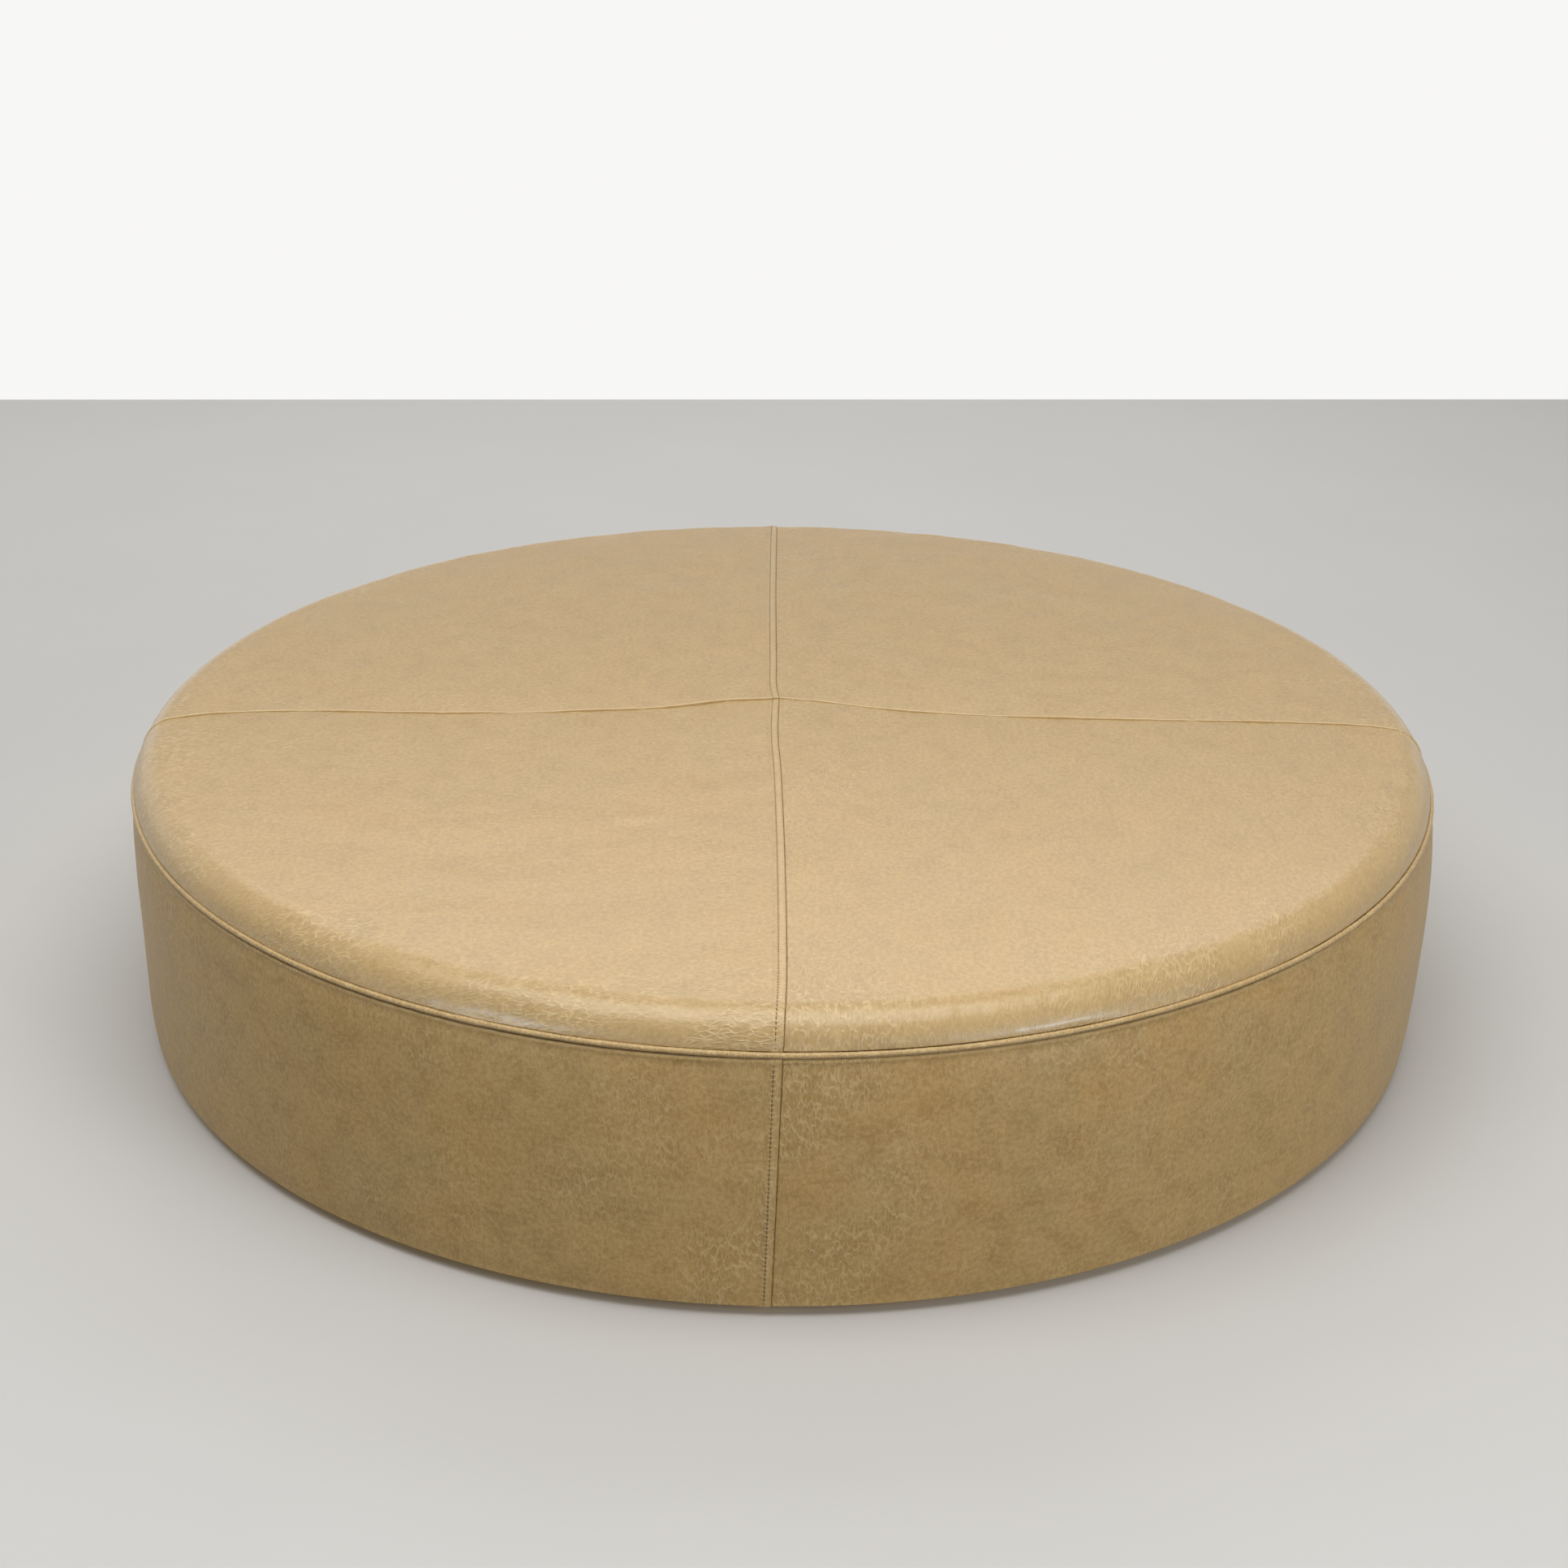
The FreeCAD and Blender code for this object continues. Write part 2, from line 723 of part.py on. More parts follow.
for item in doc.Objects:
    if "Invalid" in item.State or "Error" in item.State:
        raise RuntimeError(f"{item.Label} did not compute: {item.State}")
for piece in pieces:
    if piece.Shape.isNull() or not piece.Shape.isValid():
        raise RuntimeError(f"{piece.Label} has no valid shape")
for hole in holes:
    if hole.Shape.Volume >= hole.BaseFeature.Shape.Volume:
        raise RuntimeError(f"{hole.Label} cuts nothing")

os.makedirs("parts", exist_ok=True)
for piece in pieces:
    piece.Shape.exportStep(os.path.join("parts", f"{piece.Label}.step"))
print(f"{len(pieces)} parts written")
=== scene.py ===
import math
from contextlib import contextmanager

import bmesh
import bpy
import numpy as np
from mathutils import Euler, Matrix, Vector


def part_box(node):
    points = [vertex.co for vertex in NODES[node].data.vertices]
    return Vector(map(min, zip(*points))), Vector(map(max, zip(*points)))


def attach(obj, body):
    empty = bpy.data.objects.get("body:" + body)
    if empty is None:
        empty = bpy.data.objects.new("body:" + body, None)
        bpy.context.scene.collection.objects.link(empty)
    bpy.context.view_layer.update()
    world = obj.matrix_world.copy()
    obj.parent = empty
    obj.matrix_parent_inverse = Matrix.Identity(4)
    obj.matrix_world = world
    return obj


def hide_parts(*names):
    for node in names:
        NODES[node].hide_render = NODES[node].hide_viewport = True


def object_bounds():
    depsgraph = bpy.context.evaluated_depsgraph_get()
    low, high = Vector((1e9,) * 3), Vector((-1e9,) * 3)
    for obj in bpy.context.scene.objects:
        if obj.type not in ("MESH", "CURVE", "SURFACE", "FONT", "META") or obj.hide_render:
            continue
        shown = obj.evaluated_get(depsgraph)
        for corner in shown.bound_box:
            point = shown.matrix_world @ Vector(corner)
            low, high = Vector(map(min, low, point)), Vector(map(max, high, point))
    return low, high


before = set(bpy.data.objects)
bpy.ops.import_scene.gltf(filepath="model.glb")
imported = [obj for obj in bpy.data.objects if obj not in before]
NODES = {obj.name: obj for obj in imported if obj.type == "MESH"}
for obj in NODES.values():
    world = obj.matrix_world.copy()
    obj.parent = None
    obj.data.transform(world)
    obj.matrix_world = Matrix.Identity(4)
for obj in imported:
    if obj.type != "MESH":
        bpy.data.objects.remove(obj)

# A large round cocktail ottoman: a quartered tan leather cover, welted where its top meets its side,
# over batting, foam and a plywood drum on levelling glides. -Y is the front.

CAD_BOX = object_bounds()
MM = 0.001
TURN = 2 * math.pi
WELD = 0.001 * MM

# ---- the frame's sizes ----

HEIGHT = CAD_BOX[1].z
COVER_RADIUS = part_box("side_panel_back_left")[1].y
FLOOR_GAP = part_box("side_panel_back_left")[0].z
WELT_LOW, WELT_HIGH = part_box("welt_cover")
WELT_HEIGHT = (WELT_HIGH.z + WELT_LOW.z) / 2
WELT_RING = WELT_HIGH.x - (WELT_HIGH.z - WELT_LOW.z) / 2
WELT_PULL = 0.85  # how far the stretched leather draws the bead in
WELT_RADIUS = WELT_PULL * (WELT_HIGH.z - WELT_LOW.z) / 2

# the crown: a shallow dome that runs into a tight roll round the edge
DOME_RISE = 20 * MM
CROWN_ROLL = 38.5 * MM
CROWN_INSET = 1.5 * MM
ROLL_CENTRE = COVER_RADIUS - CROWN_INSET - CROWN_ROLL
ROLL_CENTRE_UP = HEIGHT - DOME_RISE - CROWN_ROLL
DOME_RADIUS = ROLL_CENTRE**2 / (2 * DOME_RISE) + DOME_RISE / 2 + CROWN_ROLL
HEM_FOLD = 2 * MM
HEM_WIDTH = 45 * MM

# ---- seams ----

# the leather's cut edges, turned down into each seam, and the relief that the sewing leaves beside it
EDGE_RADIUS = 1.1 * MM
FLANGE = 1.9 * MM
ALLOWANCE = 11 * MM
ALLOWANCE_RISE = 0.9 * MM
VALLEY = 0.55 * MM
RIDGE = 1.4 * MM
DIP = 0.25 * MM
PUCKER = 0.16 * MM
STITCH_ROW = 8 * MM
STITCH_PITCH = 5 * MM

# where the top's four seams cross, off its middle, and how far out the leather is drawn over with them
CROSSING = (-5 * MM, -9 * MM)
CROSSING_REACH = 250 * MM

# Each seam's angle in degrees from +X, then how far it wanders anticlockwise of it, in millimetres: on
# the top by the distance from the middle, and on the side by the height.
SEAMS = {
    "right": (
        -4,
        ((0, -9), (50, -15), (120, -29), (235, -35), (440, -18), (600, 5), (700, 15), (790, 4)),
        ((12, 0), (292, 4)),
    ),
    "back": (
        90,
        ((0, 5), (40, 8), (120, 8.5), (300, 10), (790, 10)),
        ((12, 6), (292, 10)),
    ),
    "left": (
        184,
        ((0, 9), (60, 12), (120, 26), (240, 33), (350, 28), (480, 10), (600, -11), (670, -16), (790, 3)),
        ((12, -1), (292, 3)),
    ),
    "front": (
        270,
        ((0, -5), (110, -6), (230, -2), (320, 0), (600, 4), (700, 4), (790, 1)),
        ((12, -7.5), (292, 1)),
    ),
}

# Each quarter's first and last seam, going anticlockwise, and how its top leather lies beside them.
QUARTERS = {
    "back_right": ("right", "back", "ridged", "plain"),
    "back_left": ("back", "left", "topstitched", "ridged"),
    "front_left": ("left", "front", "plain", "topstitched"),
    "front_right": ("front", "right", "plain", "plain"),
}

# The front right quarter is cut across the hide, so its figure runs the other way, in degrees.
HIDE_TURN = {"back_right": 0, "back_left": 0, "front_left": 0, "front_right": 90}


def smooth(start, end, at):
    """0 before start, 1 after end, and an even curve between them."""
    t = np.clip((at - start) / (end - start), 0, 1)
    return t * t * (3 - 2 * t)


def near(distance, middle, reach):
    """1 at the middle, dying away to either side of it."""
    return np.exp(-(((distance - middle) / reach) ** 2))


def through(points, at):
    """A smooth curve through (place, value) points."""
    x, y = np.array(points, float).T
    slope = np.gradient(y, x)
    i = np.clip(np.searchsorted(x, at) - 1, 0, len(x) - 2)
    step = x[i + 1] - x[i]
    t = np.clip((at - x[i]) / step, 0, 1)
    rise = t * t * (3 - 2 * t)
    into = t * (1 - t) ** 2 * step * slope[i] - t * t * (1 - t) * step * slope[i + 1]
    return y[i] + rise * (y[i + 1] - y[i]) + into


def profile(start, lean, stretches, along):
    """Radius, height and the face's lean from level, at distances along stretches given as (length, turn)."""
    radius, height = start
    found = np.zeros((3,) + np.shape(along))
    covered = 0
    for length, turn in stretches:
        here = along >= covered
        run = np.minimum(along - covered, length)
        bend = turn / length
        leaned = lean + bend * run
        if turn:
            across = (np.sin(leaned) - np.sin(lean)) / bend
            up = (np.cos(leaned) - np.cos(lean)) / bend
        else:
            across, up = run * np.cos(lean), -run * np.sin(lean)
        found[:, here] = np.array([radius + across, height + up, leaned])[:, here]
        end = lean + turn
        radius += (np.sin(end) - np.sin(lean)) / bend if turn else length * np.cos(lean)
        height += (np.cos(end) - np.cos(lean)) / bend if turn else -length * np.sin(lean)
        lean, covered = end, covered + length
    return found


def arc(radius, turn):
    return (radius * turn, turn)


def straight(length):
    return (length, 0)


def total(stretches):
    return sum(length for length, _ in stretches)


# ---- the cover's two profiles ----

SHOULDER = math.asin(ROLL_CENTRE / (DOME_RADIUS - CROWN_ROLL))
CREASE_HEIGHT = WELT_HEIGHT + WELT_RADIUS + 0.7 * MM
CROWN_EDGE = math.acos((CREASE_HEIGHT - ROLL_CENTRE_UP) / CROWN_ROLL)
CROWN = (
    arc(DOME_RADIUS, SHOULDER),
    arc(CROWN_ROLL, CROWN_EDGE - SHOULDER),
    arc(EDGE_RADIUS, math.pi - CROWN_EDGE),
    straight(3 * MM),
)
DOME_LENGTH = CROWN[0][0]
ROLL_LENGTH = total(CROWN[:2])

SIDE_FOLD = 2.9 * MM
SIDE_TOP = WELT_HEIGHT - WELT_RADIUS - 0.9 * MM
SIDE_DROP = SIDE_TOP - SIDE_FOLD - HEM_FOLD - FLOOR_GAP
SIDE = (
    straight(3 * MM),
    arc(SIDE_FOLD, math.pi / 2),
    straight(SIDE_DROP),
    arc(HEM_FOLD, math.pi / 2),
    straight(HEM_WIDTH),
)
SIDE_START = (COVER_RADIUS - SIDE_FOLD - SIDE[0][0], SIDE_TOP)
SIDE_FACE = total(SIDE[:2])
SIDE_HEM = total(SIDE[:3])


def crown_profile(along):
    return profile((0, HEIGHT), 0, CROWN, along)


def side_profile(along):
    return profile(SIDE_START, 0, SIDE, along)


def profile_radius(top, along):
    return (crown_profile if top else side_profile)(along)[0]


# ---- relief ----


def lumps(across, along, sizes, seed):
    """Smooth random hills of unit height, sizes = (across, along) apart."""
    hills = np.random.default_rng(seed).standard_normal((97, 89))
    u, v = across / sizes[0], along / sizes[1]
    i, j = np.floor(u).astype(int), np.floor(v).astype(int)
    a, b = smooth(0, 1, u - i), smooth(0, 1, v - j)
    rows, columns = hills.shape

    def corner(di, dj):
        return hills[(i + di) % rows, (j + dj) % columns]

    before = corner(0, 0) * (1 - a) + corner(1, 0) * a
    after = corner(0, 1) * (1 - a) + corner(1, 1) * a
    return before * (1 - b) + after * b


def hilly(hills, across, along, seed):
    """Layers of hills, each given as its (height, size across, size along) in millimetres."""
    height = 0
    for number, (rise, wide, long) in enumerate(hills):
        height += rise * MM * lumps(across, along, (wide * MM, long * MM), seed + number)
    return height


def beside_seam(kind, distance, along, seed):
    """How high the leather stands beside a seam."""
    inside = np.clip(1 - distance / EDGE_RADIUS, 0, 1)
    height = -EDGE_RADIUS * (1 - np.sqrt(1 - inside**2))
    if kind == "topstitched":
        height += ALLOWANCE_RISE * smooth(ALLOWANCE + 4 * MM, ALLOWANCE - 1 * MM, distance)
        height -= VALLEY * near(distance, STITCH_ROW, 1.0 * MM)
    elif kind == "ridged":
        height += RIDGE * smooth(6 * MM, 1.5 * MM, distance)
    else:
        height -= DIP * smooth(8 * MM, 0, distance)
    puckers = lumps(distance, along, (9 * MM, 7 * MM), seed)
    return height + PUCKER * puckers * np.exp(-distance / (12 * MM))


def seam_turn(top, along, angle):
    """How far round the leather is pulled by the seams' wandering, as an angle in radians."""
    turn = np.zeros(np.shape(angle))
    reach = np.maximum(profile_radius(top, along), 1e-6)
    for degrees, top_route, side_route in SEAMS.values():
        off = (angle - math.radians(degrees) + math.pi) % TURN - math.pi
        window = np.where(np.abs(off) < math.pi / 2, np.cos(off) ** 2, 0)
        if top:
            route = through(top_route, along / MM) * MM
            tangent = (-math.sin(math.radians(degrees)), math.cos(math.radians(degrees)))
            shared = CROSSING[0] * tangent[0] + CROSSING[1] * tangent[1]
            shift = route - shared * near(along, 0, CROSSING_REACH)
        else:
            shift = through(side_route, side_profile(along)[1] / MM) * MM
        turn += window * shift / reach
    return turn


def place(top, along, angle, lift):
    """Points on the cover, lifted off its smooth shape."""
    radius, height, lean = (crown_profile if top else side_profile)(along)
    turned = angle + seam_turn(top, along, angle)
    out = radius + lift * np.sin(lean)
    points = np.stack([out * np.cos(turned), out * np.sin(turned), height + lift * np.cos(lean)], axis=-1)
    if top:
        points[..., :2] += near(along, 0, CROSSING_REACH)[..., None] * np.array(CROSSING)
    return points


# ---- meshes ----


def grid_faces(rows, columns, closed_rows=False, closed_columns=False):
    """Quads over a grid of points, numbered row by row."""
    i = np.arange(rows if closed_rows else rows - 1)[:, None]
    j = np.arange(columns if closed_columns else columns - 1)[None, :]
    i_next, j_next = (i + 1) % rows, (j + 1) % columns
    corners = [i * columns + j, i_next * columns + j, i_next * columns + j_next, i * columns + j_next]
    return np.stack(np.broadcast_arrays(*corners), axis=-1).reshape(-1, 4)


def new_piece(name, points, faces, material, slot=None, **fields):
    """A smooth mesh with its material; fields are values kept at its points for the material to read."""
    mesh = bpy.data.meshes.new(name)
    mesh.from_pydata(np.reshape(points, (-1, 3)).tolist(), [], np.asarray(faces).tolist())
    for field, values in fields.items():
        kind, key = ("FLOAT_VECTOR", "vector") if field == "flat" else ("FLOAT", "value")
        mesh.attributes.new(field, kind, "POINT").data.foreach_set(key, np.ravel(values))
    mesh.polygons.foreach_set("use_smooth", [True] * len(mesh.polygons))
    mesh.materials.append(material)
    mesh.update()
    piece = bpy.data.objects.new(name, mesh)
    bpy.context.scene.collection.objects.link(piece)
    return piece


@contextmanager
def editing(piece):
    """A piece's mesh opened for editing, and put back."""
    work = bmesh.new()
    work.from_mesh(piece.data)
    yield work
    work.to_mesh(piece.data)
    work.free()


# ---- materials ----


class Nodes:
    """Adds to a node tree. An input is a number, a colour or another node's output."""

    def __init__(self, tree):
        self.tree = tree

    def connect(self, given, socket):
        if isinstance(given, bpy.types.NodeSocket):
            self.tree.links.new(given, socket)
        else:
            socket.default_value = given

    def add(self, kind, inputs, output=0, **settings):
        node = self.tree.nodes.new(kind)
        for setting, choice in settings.items():
            setattr(node, setting, choice)
        for socket, given in inputs.items():
            self.connect(given, node.inputs[socket])
        return node.outputs[output]

    def remap(self, given, low, high, to_low=0.0, to_high=1.0):
        inputs = {"Value": given, "From Min": low, "From Max": high, "To Min": to_low, "To Max": to_high}
        return self.add("ShaderNodeMapRange", inputs)

    def maths(self, first, second, operation="ADD"):
        return self.add("ShaderNodeMath", {0: first, 1: second}, operation=operation)

    def times(self, first, second):
        return self.maths(first, second, "MULTIPLY")


class Finish(Nodes):
    """A material: a Principled surface and the nodes that feed it."""

    def __init__(self, name, metallic=0, coat=0, sheen=0, specular=0.5):
        self.material = bpy.data.materials.new(name)
        self.material.use_nodes = True
        super().__init__(self.material.node_tree)
        self.surface = self.tree.nodes["Principled BSDF"]
        fixed = {
            "Metallic": metallic,
            "Coat Weight": coat,
            "Coat Roughness": 0.28,
            "Sheen Weight": sheen,
            "Specular IOR Level": specular,
        }
        for socket, number in fixed.items():
            self.surface.inputs[socket].default_value = number

    def stored(self, field):
        output = "Vector" if field == "flat" else "Fac"
        return self.add("ShaderNodeAttribute", {}, output, attribute_name=field)

    def own_frame(self):
        return self.add("ShaderNodeTexCoord", {}, "Object")

    def stretched(self, where, scale, turn=0):
        inputs = {"Vector": where, "Scale": scale, "Rotation": (0, 0, turn)}
        return self.add("ShaderNodeMapping", inputs)

    def noise(self, where, scale, detail=3, roughness=0.55, distortion=0):
        inputs = {
            "Vector": where,
            "Scale": scale,
            "Detail": detail,
            "Roughness": roughness,
            "Distortion": distortion,
        }
        return self.add("ShaderNodeTexNoise", inputs)

    def cells(self, where, scale, feature="F1", randomness=1):
        inputs = {"Vector": where, "Scale": scale, "Randomness": randomness}
        return self.add("ShaderNodeTexVoronoi", inputs, "Distance", feature=feature)

    def mix(self, factor, first, second):
        inputs = {0: factor, 6: first, 7: second}
        return self.add("ShaderNodeMix", inputs, 2, data_type="RGBA")

    def bump(self, height, distance, strength=1.0, under=None):
        inputs = {"Height": height, "Distance": distance, "Strength": strength}
        if under is not None:
            inputs["Normal"] = under
        return self.add("ShaderNodeBump", inputs)

    def done(self, colour, roughness, normal=None):
        self.connect(colour, self.surface.inputs["Base Color"])
        self.connect(roughness, self.surface.inputs["Roughness"])
        if normal is not None:
            self.connect(normal, self.surface.inputs["Normal"])
        return self.material


def veins_in(f, flat, shown, grain_way):
    """A net of fine ridges, broken up, and only where the leather shows them; the leather lightens them with
    a painted highlight.
    """
    wander = f.add("ShaderNodeTexNoise", {"Vector": flat, "Scale": 60, "Detail": 3}, 1)
    inputs = {0: wander, 1: (VEIN_WANDER,) * 3, 2: flat}
    wandered = f.add("ShaderNodeVectorMath", inputs, operation="MULTIPLY_ADD")
    network = f.stretched(wandered, grain_way)
    ridges = f.remap(f.cells(network, VEINS_PER_METRE, "DISTANCE_TO_EDGE"), 0.17, 0.0)
    broken = f.remap(f.noise(flat, 110, detail=2), 0.36, 0.54)
    return f.times(f.times(ridges, broken), shown)


def puckers_in(f, flat):
    """Pale puckers between the stitches of a row."""
    down_the_row = f.add("ShaderNodeSeparateXYZ", {0: flat}, 1)
    wave = f.maths(f.times(down_the_row, TURN / STITCH_PITCH), 0, "COSINE")
    return f.times(f.remap(wave, -0.3, 1.0), f.stored("row"))


def leather(name, grain_way, clouded, veined, coat, specular):
    """Semi-gloss pigmented hide: clouded tan, flecked grain, and drawn patches darkened with painted shade
    and their fine ridges lightened with a painted highlight.
    """
    f = Finish(name, coat=coat, specular=specular)
    flat = f.stored("flat")
    clouds = f.noise(flat, 9, detail=3, roughness=0.55)
    blotches = f.noise(flat, 30, detail=6, roughness=0.62, distortion=0.4)
    flecks = f.noise(flat, 190, detail=4, roughness=0.75)
    scattered = f.remap(f.noise(flat, 14, detail=2), 0.4, 0.68)
    shown = f.maths(f.maths(f.times(scattered, veined), f.stored("drawn")), 1.0, "MINIMUM")
    veins = veins_in(f, flat, shown, grain_way)
    puckers = puckers_in(f, flat)

    amber = f.remap(clouds, 0.36, 0.64, 0.5 - 0.5 * clouded, 0.5 + 0.5 * clouded)
    colour = f.mix(amber, OLIVE_TAN, AMBER_TAN)
    colour = f.mix(f.remap(blotches, 0.42, 0.64, 0.0, 0.45 * clouded), colour, PALE_TAN)
    colour = f.mix(f.remap(blotches, 0.32, 0.5, 0.42 * clouded, 0.0), colour, BROWN_TAN)
    colour = f.mix(f.remap(flecks, 0.38, 0.54, 0.38, 0.0), colour, BROWN_TAN)
    colour = f.mix(f.remap(flecks, 0.48, 0.62, 0.0, 0.56), colour, PALE_TAN)
    # painted shade: drawn, wrinkled patches darkened between their ridges
    colour = f.mix(f.times(shown, 0.16), colour, BROWN_TAN)
    # painted highlight: the wrinkles' fine ridges lightened
    colour = f.mix(f.times(veins, 0.72), colour, CREAM_AND_HIGHLIGHT_TAN)
    colour = f.mix(f.times(puckers, 0.5), colour, CREAM_AND_HIGHLIGHT_TAN)
    # painted highlight on raised edges, folds and the bead's top; over the crown's roll partly rubbed wear
    # too
    colour = f.mix(f.stored("wear_and_highlight"), colour, CREAM_AND_HIGHLIGHT_TAN)
    # painted shade in the creases, seam mouths and stitch rows, and under the bead
    colour = f.mix(f.stored("crease_shade"), colour, CREASE_SHADE_BROWN)

    roughness = f.remap(f.maths(blotches, f.times(flecks, 0.5)), 0.5, 1.0, 0.3, 0.44)
    relief = f.bump(f.cells(flat, PORES_PER_METRE, "SMOOTH_F1"), 0.2 * MM, 0.6)
    relief = f.bump(flecks, 0.5 * MM, 0.6, relief)
    relief = f.bump(veins, 0.5 * MM, 1.0, relief)
    relief = f.bump(puckers, 0.8 * MM, 1.0, relief)
    relief = f.bump(blotches, 1.0 * MM, 0.25, relief)
    return f.done(colour, roughness, relief)


def thread():
    """Bonded polyester sewing thread, with its twist."""
    f = Finish("sewing_thread", sheen=0.2)
    twist = f.noise(f.own_frame(), 1600, detail=2)
    colour = f.mix(twist, (0.10, 0.058, 0.022, 1), (0.17, 0.1, 0.04, 1))
    return f.done(colour, 0.5, f.bump(twist, 0.1 * MM))


def plywood():
    """Birch ply: pale plies and dark glue lines at its edges, and long flat figure on its faces."""
    f = Finish("birch_plywood")
    where = f.own_frame()
    height = f.add("ShaderNodeSeparateXYZ", {"Vector": where}, "Z")
    plies = f.add("ShaderNodeMath", {0: f.times(height, PLIES_PER_METRE)}, operation="FRACT")
    glue = f.remap(plies, 0.86, 0.97)
    figure = f.noise(f.stretched(where, (1, 14, 40)), 9, detail=6, roughness=0.6, distortion=0.6)
    colour = f.mix(figure, (0.42, 0.27, 0.13, 1), (0.66, 0.48, 0.28, 1))
    colour = f.mix(f.times(glue, 0.55), colour, (0.2, 0.11, 0.05, 1))
    return f.done(colour, f.remap(figure, 0.3, 0.7, 0.55, 0.7), f.bump(figure, 0.3 * MM))


def softwood():
    """Planed pine, its rings drawn out along the post."""
    f = Finish("pine")
    where = f.own_frame()
    rings = f.noise(f.stretched(where, (16, 16, 1)), 9, detail=5, roughness=0.6, distortion=1.2)
    fibres = f.noise(f.stretched(where, (40, 40, 2)), 30, detail=3)
    colour = f.mix(f.remap(rings, 0.35, 0.65), (0.45, 0.27, 0.11, 1), (0.68, 0.48, 0.25, 1))
    colour = f.mix(f.times(fibres, 0.25), colour, (0.3, 0.17, 0.07, 1))
    return f.done(colour, f.remap(fibres, 0.3, 0.7, 0.5, 0.7), f.bump(fibres, 0.2 * MM))


def cambric():
    """Black non-woven dust cover, its fibres bonded in a fine dimpled pattern."""
    f = Finish("dust_cover_cloth", sheen=0.15)
    where = f.own_frame()
    fibres = f.noise(where, 900, detail=4, roughness=0.7)
    dimples = f.cells(where, 450, "SMOOTH_F1", 0.2)
    colour = f.mix(f.remap(fibres, 0.35, 0.7), (0.012, 0.012, 0.013, 1), (0.05, 0.05, 0.052, 1))
    return f.done(colour, f.remap(dimples, 0.1, 0.6, 0.8, 0.95), f.bump(dimples, 0.25 * MM))


def batting_fibre():
    f = Finish("polyester_batting", sheen=0.5)
    where = f.own_frame()
    tufts = f.noise(where, 70, detail=6, roughness=0.75, distortion=1.5)
    colour = f.mix(tufts, (0.62, 0.62, 0.6, 1), (0.86, 0.86, 0.84, 1))
    return f.done(colour, f.remap(tufts, 0.3, 0.7, 0.85, 0.98), f.bump(tufts, 3 * MM, 0.8))


def foam_cells():
    f = Finish("upholstery_foam")
    where = f.own_frame()
    pores = f.cells(where, 700)
    aged = f.noise(where, 8, detail=4)
    colour = f.mix(aged, (0.72, 0.6, 0.33, 1), (0.8, 0.72, 0.5, 1))
    # painted shade in the pores' hollows
    colour = f.mix(f.remap(pores, 0.2, 0.05, 0, 0.6), colour, (0.42, 0.33, 0.16, 1))
    return f.done(colour, f.remap(aged, 0.3, 0.7, 0.85, 0.95), f.bump(pores, 0.5 * MM))


def steel(name, bright, dull, smoothest):
    """Zinc-plated or plain steel, with a faint spangle and handling marks."""
    f = Finish(name, metallic=1)
    where = f.own_frame()
    spangle = f.cells(where, 380)
    marks = f.noise(where, 160, detail=4, roughness=0.7)
    colour = f.mix(f.remap(spangle, 0, 0.8), bright, dull)
    return f.done(colour, f.remap(marks, 0.3, 0.7, smoothest, smoothest + 0.22), f.bump(marks, 0.06 * MM))


def foot_plastic():
    """Moulded black nylon, scuffed where it meets the floor."""
    f = Finish("foot_nylon", specular=0.4)
    where = f.own_frame()
    texture = f.noise(where, 900, detail=3)
    scuffs = f.noise(f.stretched(where, (6, 1, 1), 0.6), 120, detail=5, roughness=0.7, distortion=1)
    colour = f.mix(f.remap(scuffs, 0.55, 0.75), (0.018, 0.018, 0.019, 1), (0.09, 0.09, 0.088, 1))
    return f.done(colour, f.remap(scuffs, 0.4, 0.7, 0.42, 0.62), f.bump(texture, 0.12 * MM))


def welt_piping_cord():
    f = Finish("piping_cord", sheen=0.3)
    strands = f.noise(f.stretched(f.own_frame(), (1, 1, 3), 0.5), 420, detail=3)
    colour = f.mix(strands, (0.6, 0.58, 0.52, 1), (0.8, 0.78, 0.72, 1))
    return f.done(colour, f.remap(strands, 0.3, 0.7, 0.8, 0.95), f.bump(strands, 0.4 * MM))


VEINS_PER_METRE = 72
VEIN_WANDER = 4.5 * MM
PORES_PER_METRE = 620
PLIES_PER_METRE = 700

# the leather's colours, a pale cream also used for painted highlights and a dark brown for painted shade in
# creases, and the way its figure is drawn out
AMBER_TAN = (0.50, 0.322, 0.122, 1)
OLIVE_TAN = (0.450, 0.314, 0.134, 1)
PALE_TAN = (0.58, 0.395, 0.170, 1)
BROWN_TAN = (0.345, 0.212, 0.075, 1)
CREAM_AND_HIGHLIGHT_TAN = (0.70, 0.52, 0.265, 1)
CREASE_SHADE_BROWN = (0.15, 0.085, 0.028, 1)
ALONG_X = (1, 3.2, 1)
UPRIGHT = (3.2, 1, 1)
ROUND_THE_WELT = (3.6, 1, 1)

TOP_LEATHER = leather("top_leather", ALONG_X, clouded=0.55, veined=0.35, coat=0.62, specular=0.5)
SIDE_LEATHER = leather("side_leather", UPRIGHT, clouded=1.0, veined=0.5, coat=0.0, specular=0.15)
WELT_LEATHER = leather("welt_leather", ROUND_THE_WELT, clouded=0.8, veined=0.8, coat=0.2, specular=0.4)
THREAD = thread()
PLYWOOD = plywood()
PINE = softwood()
CAMBRIC = cambric()
BATTING = batting_fibre()
FOAM = foam_cells()
ZINC = steel("zinc_steel", (0.62, 0.6, 0.55, 1), (0.46, 0.45, 0.42, 1), 0.28)
WIRE = steel("staple_wire", (0.66, 0.64, 0.6, 1), (0.5, 0.48, 0.44, 1), 0.32)
NYLON = foot_plastic()
CORD = welt_piping_cord()

# ---- cloth simulation: the cover blown up off its padding ----

SWELL_CELL = 16 * MM
SWELL_FRAMES = 20
SWELL_PRESSURE = 4
TOP_SWELL = 2.2 * MM
SIDE_SWELL = 3.0 * MM


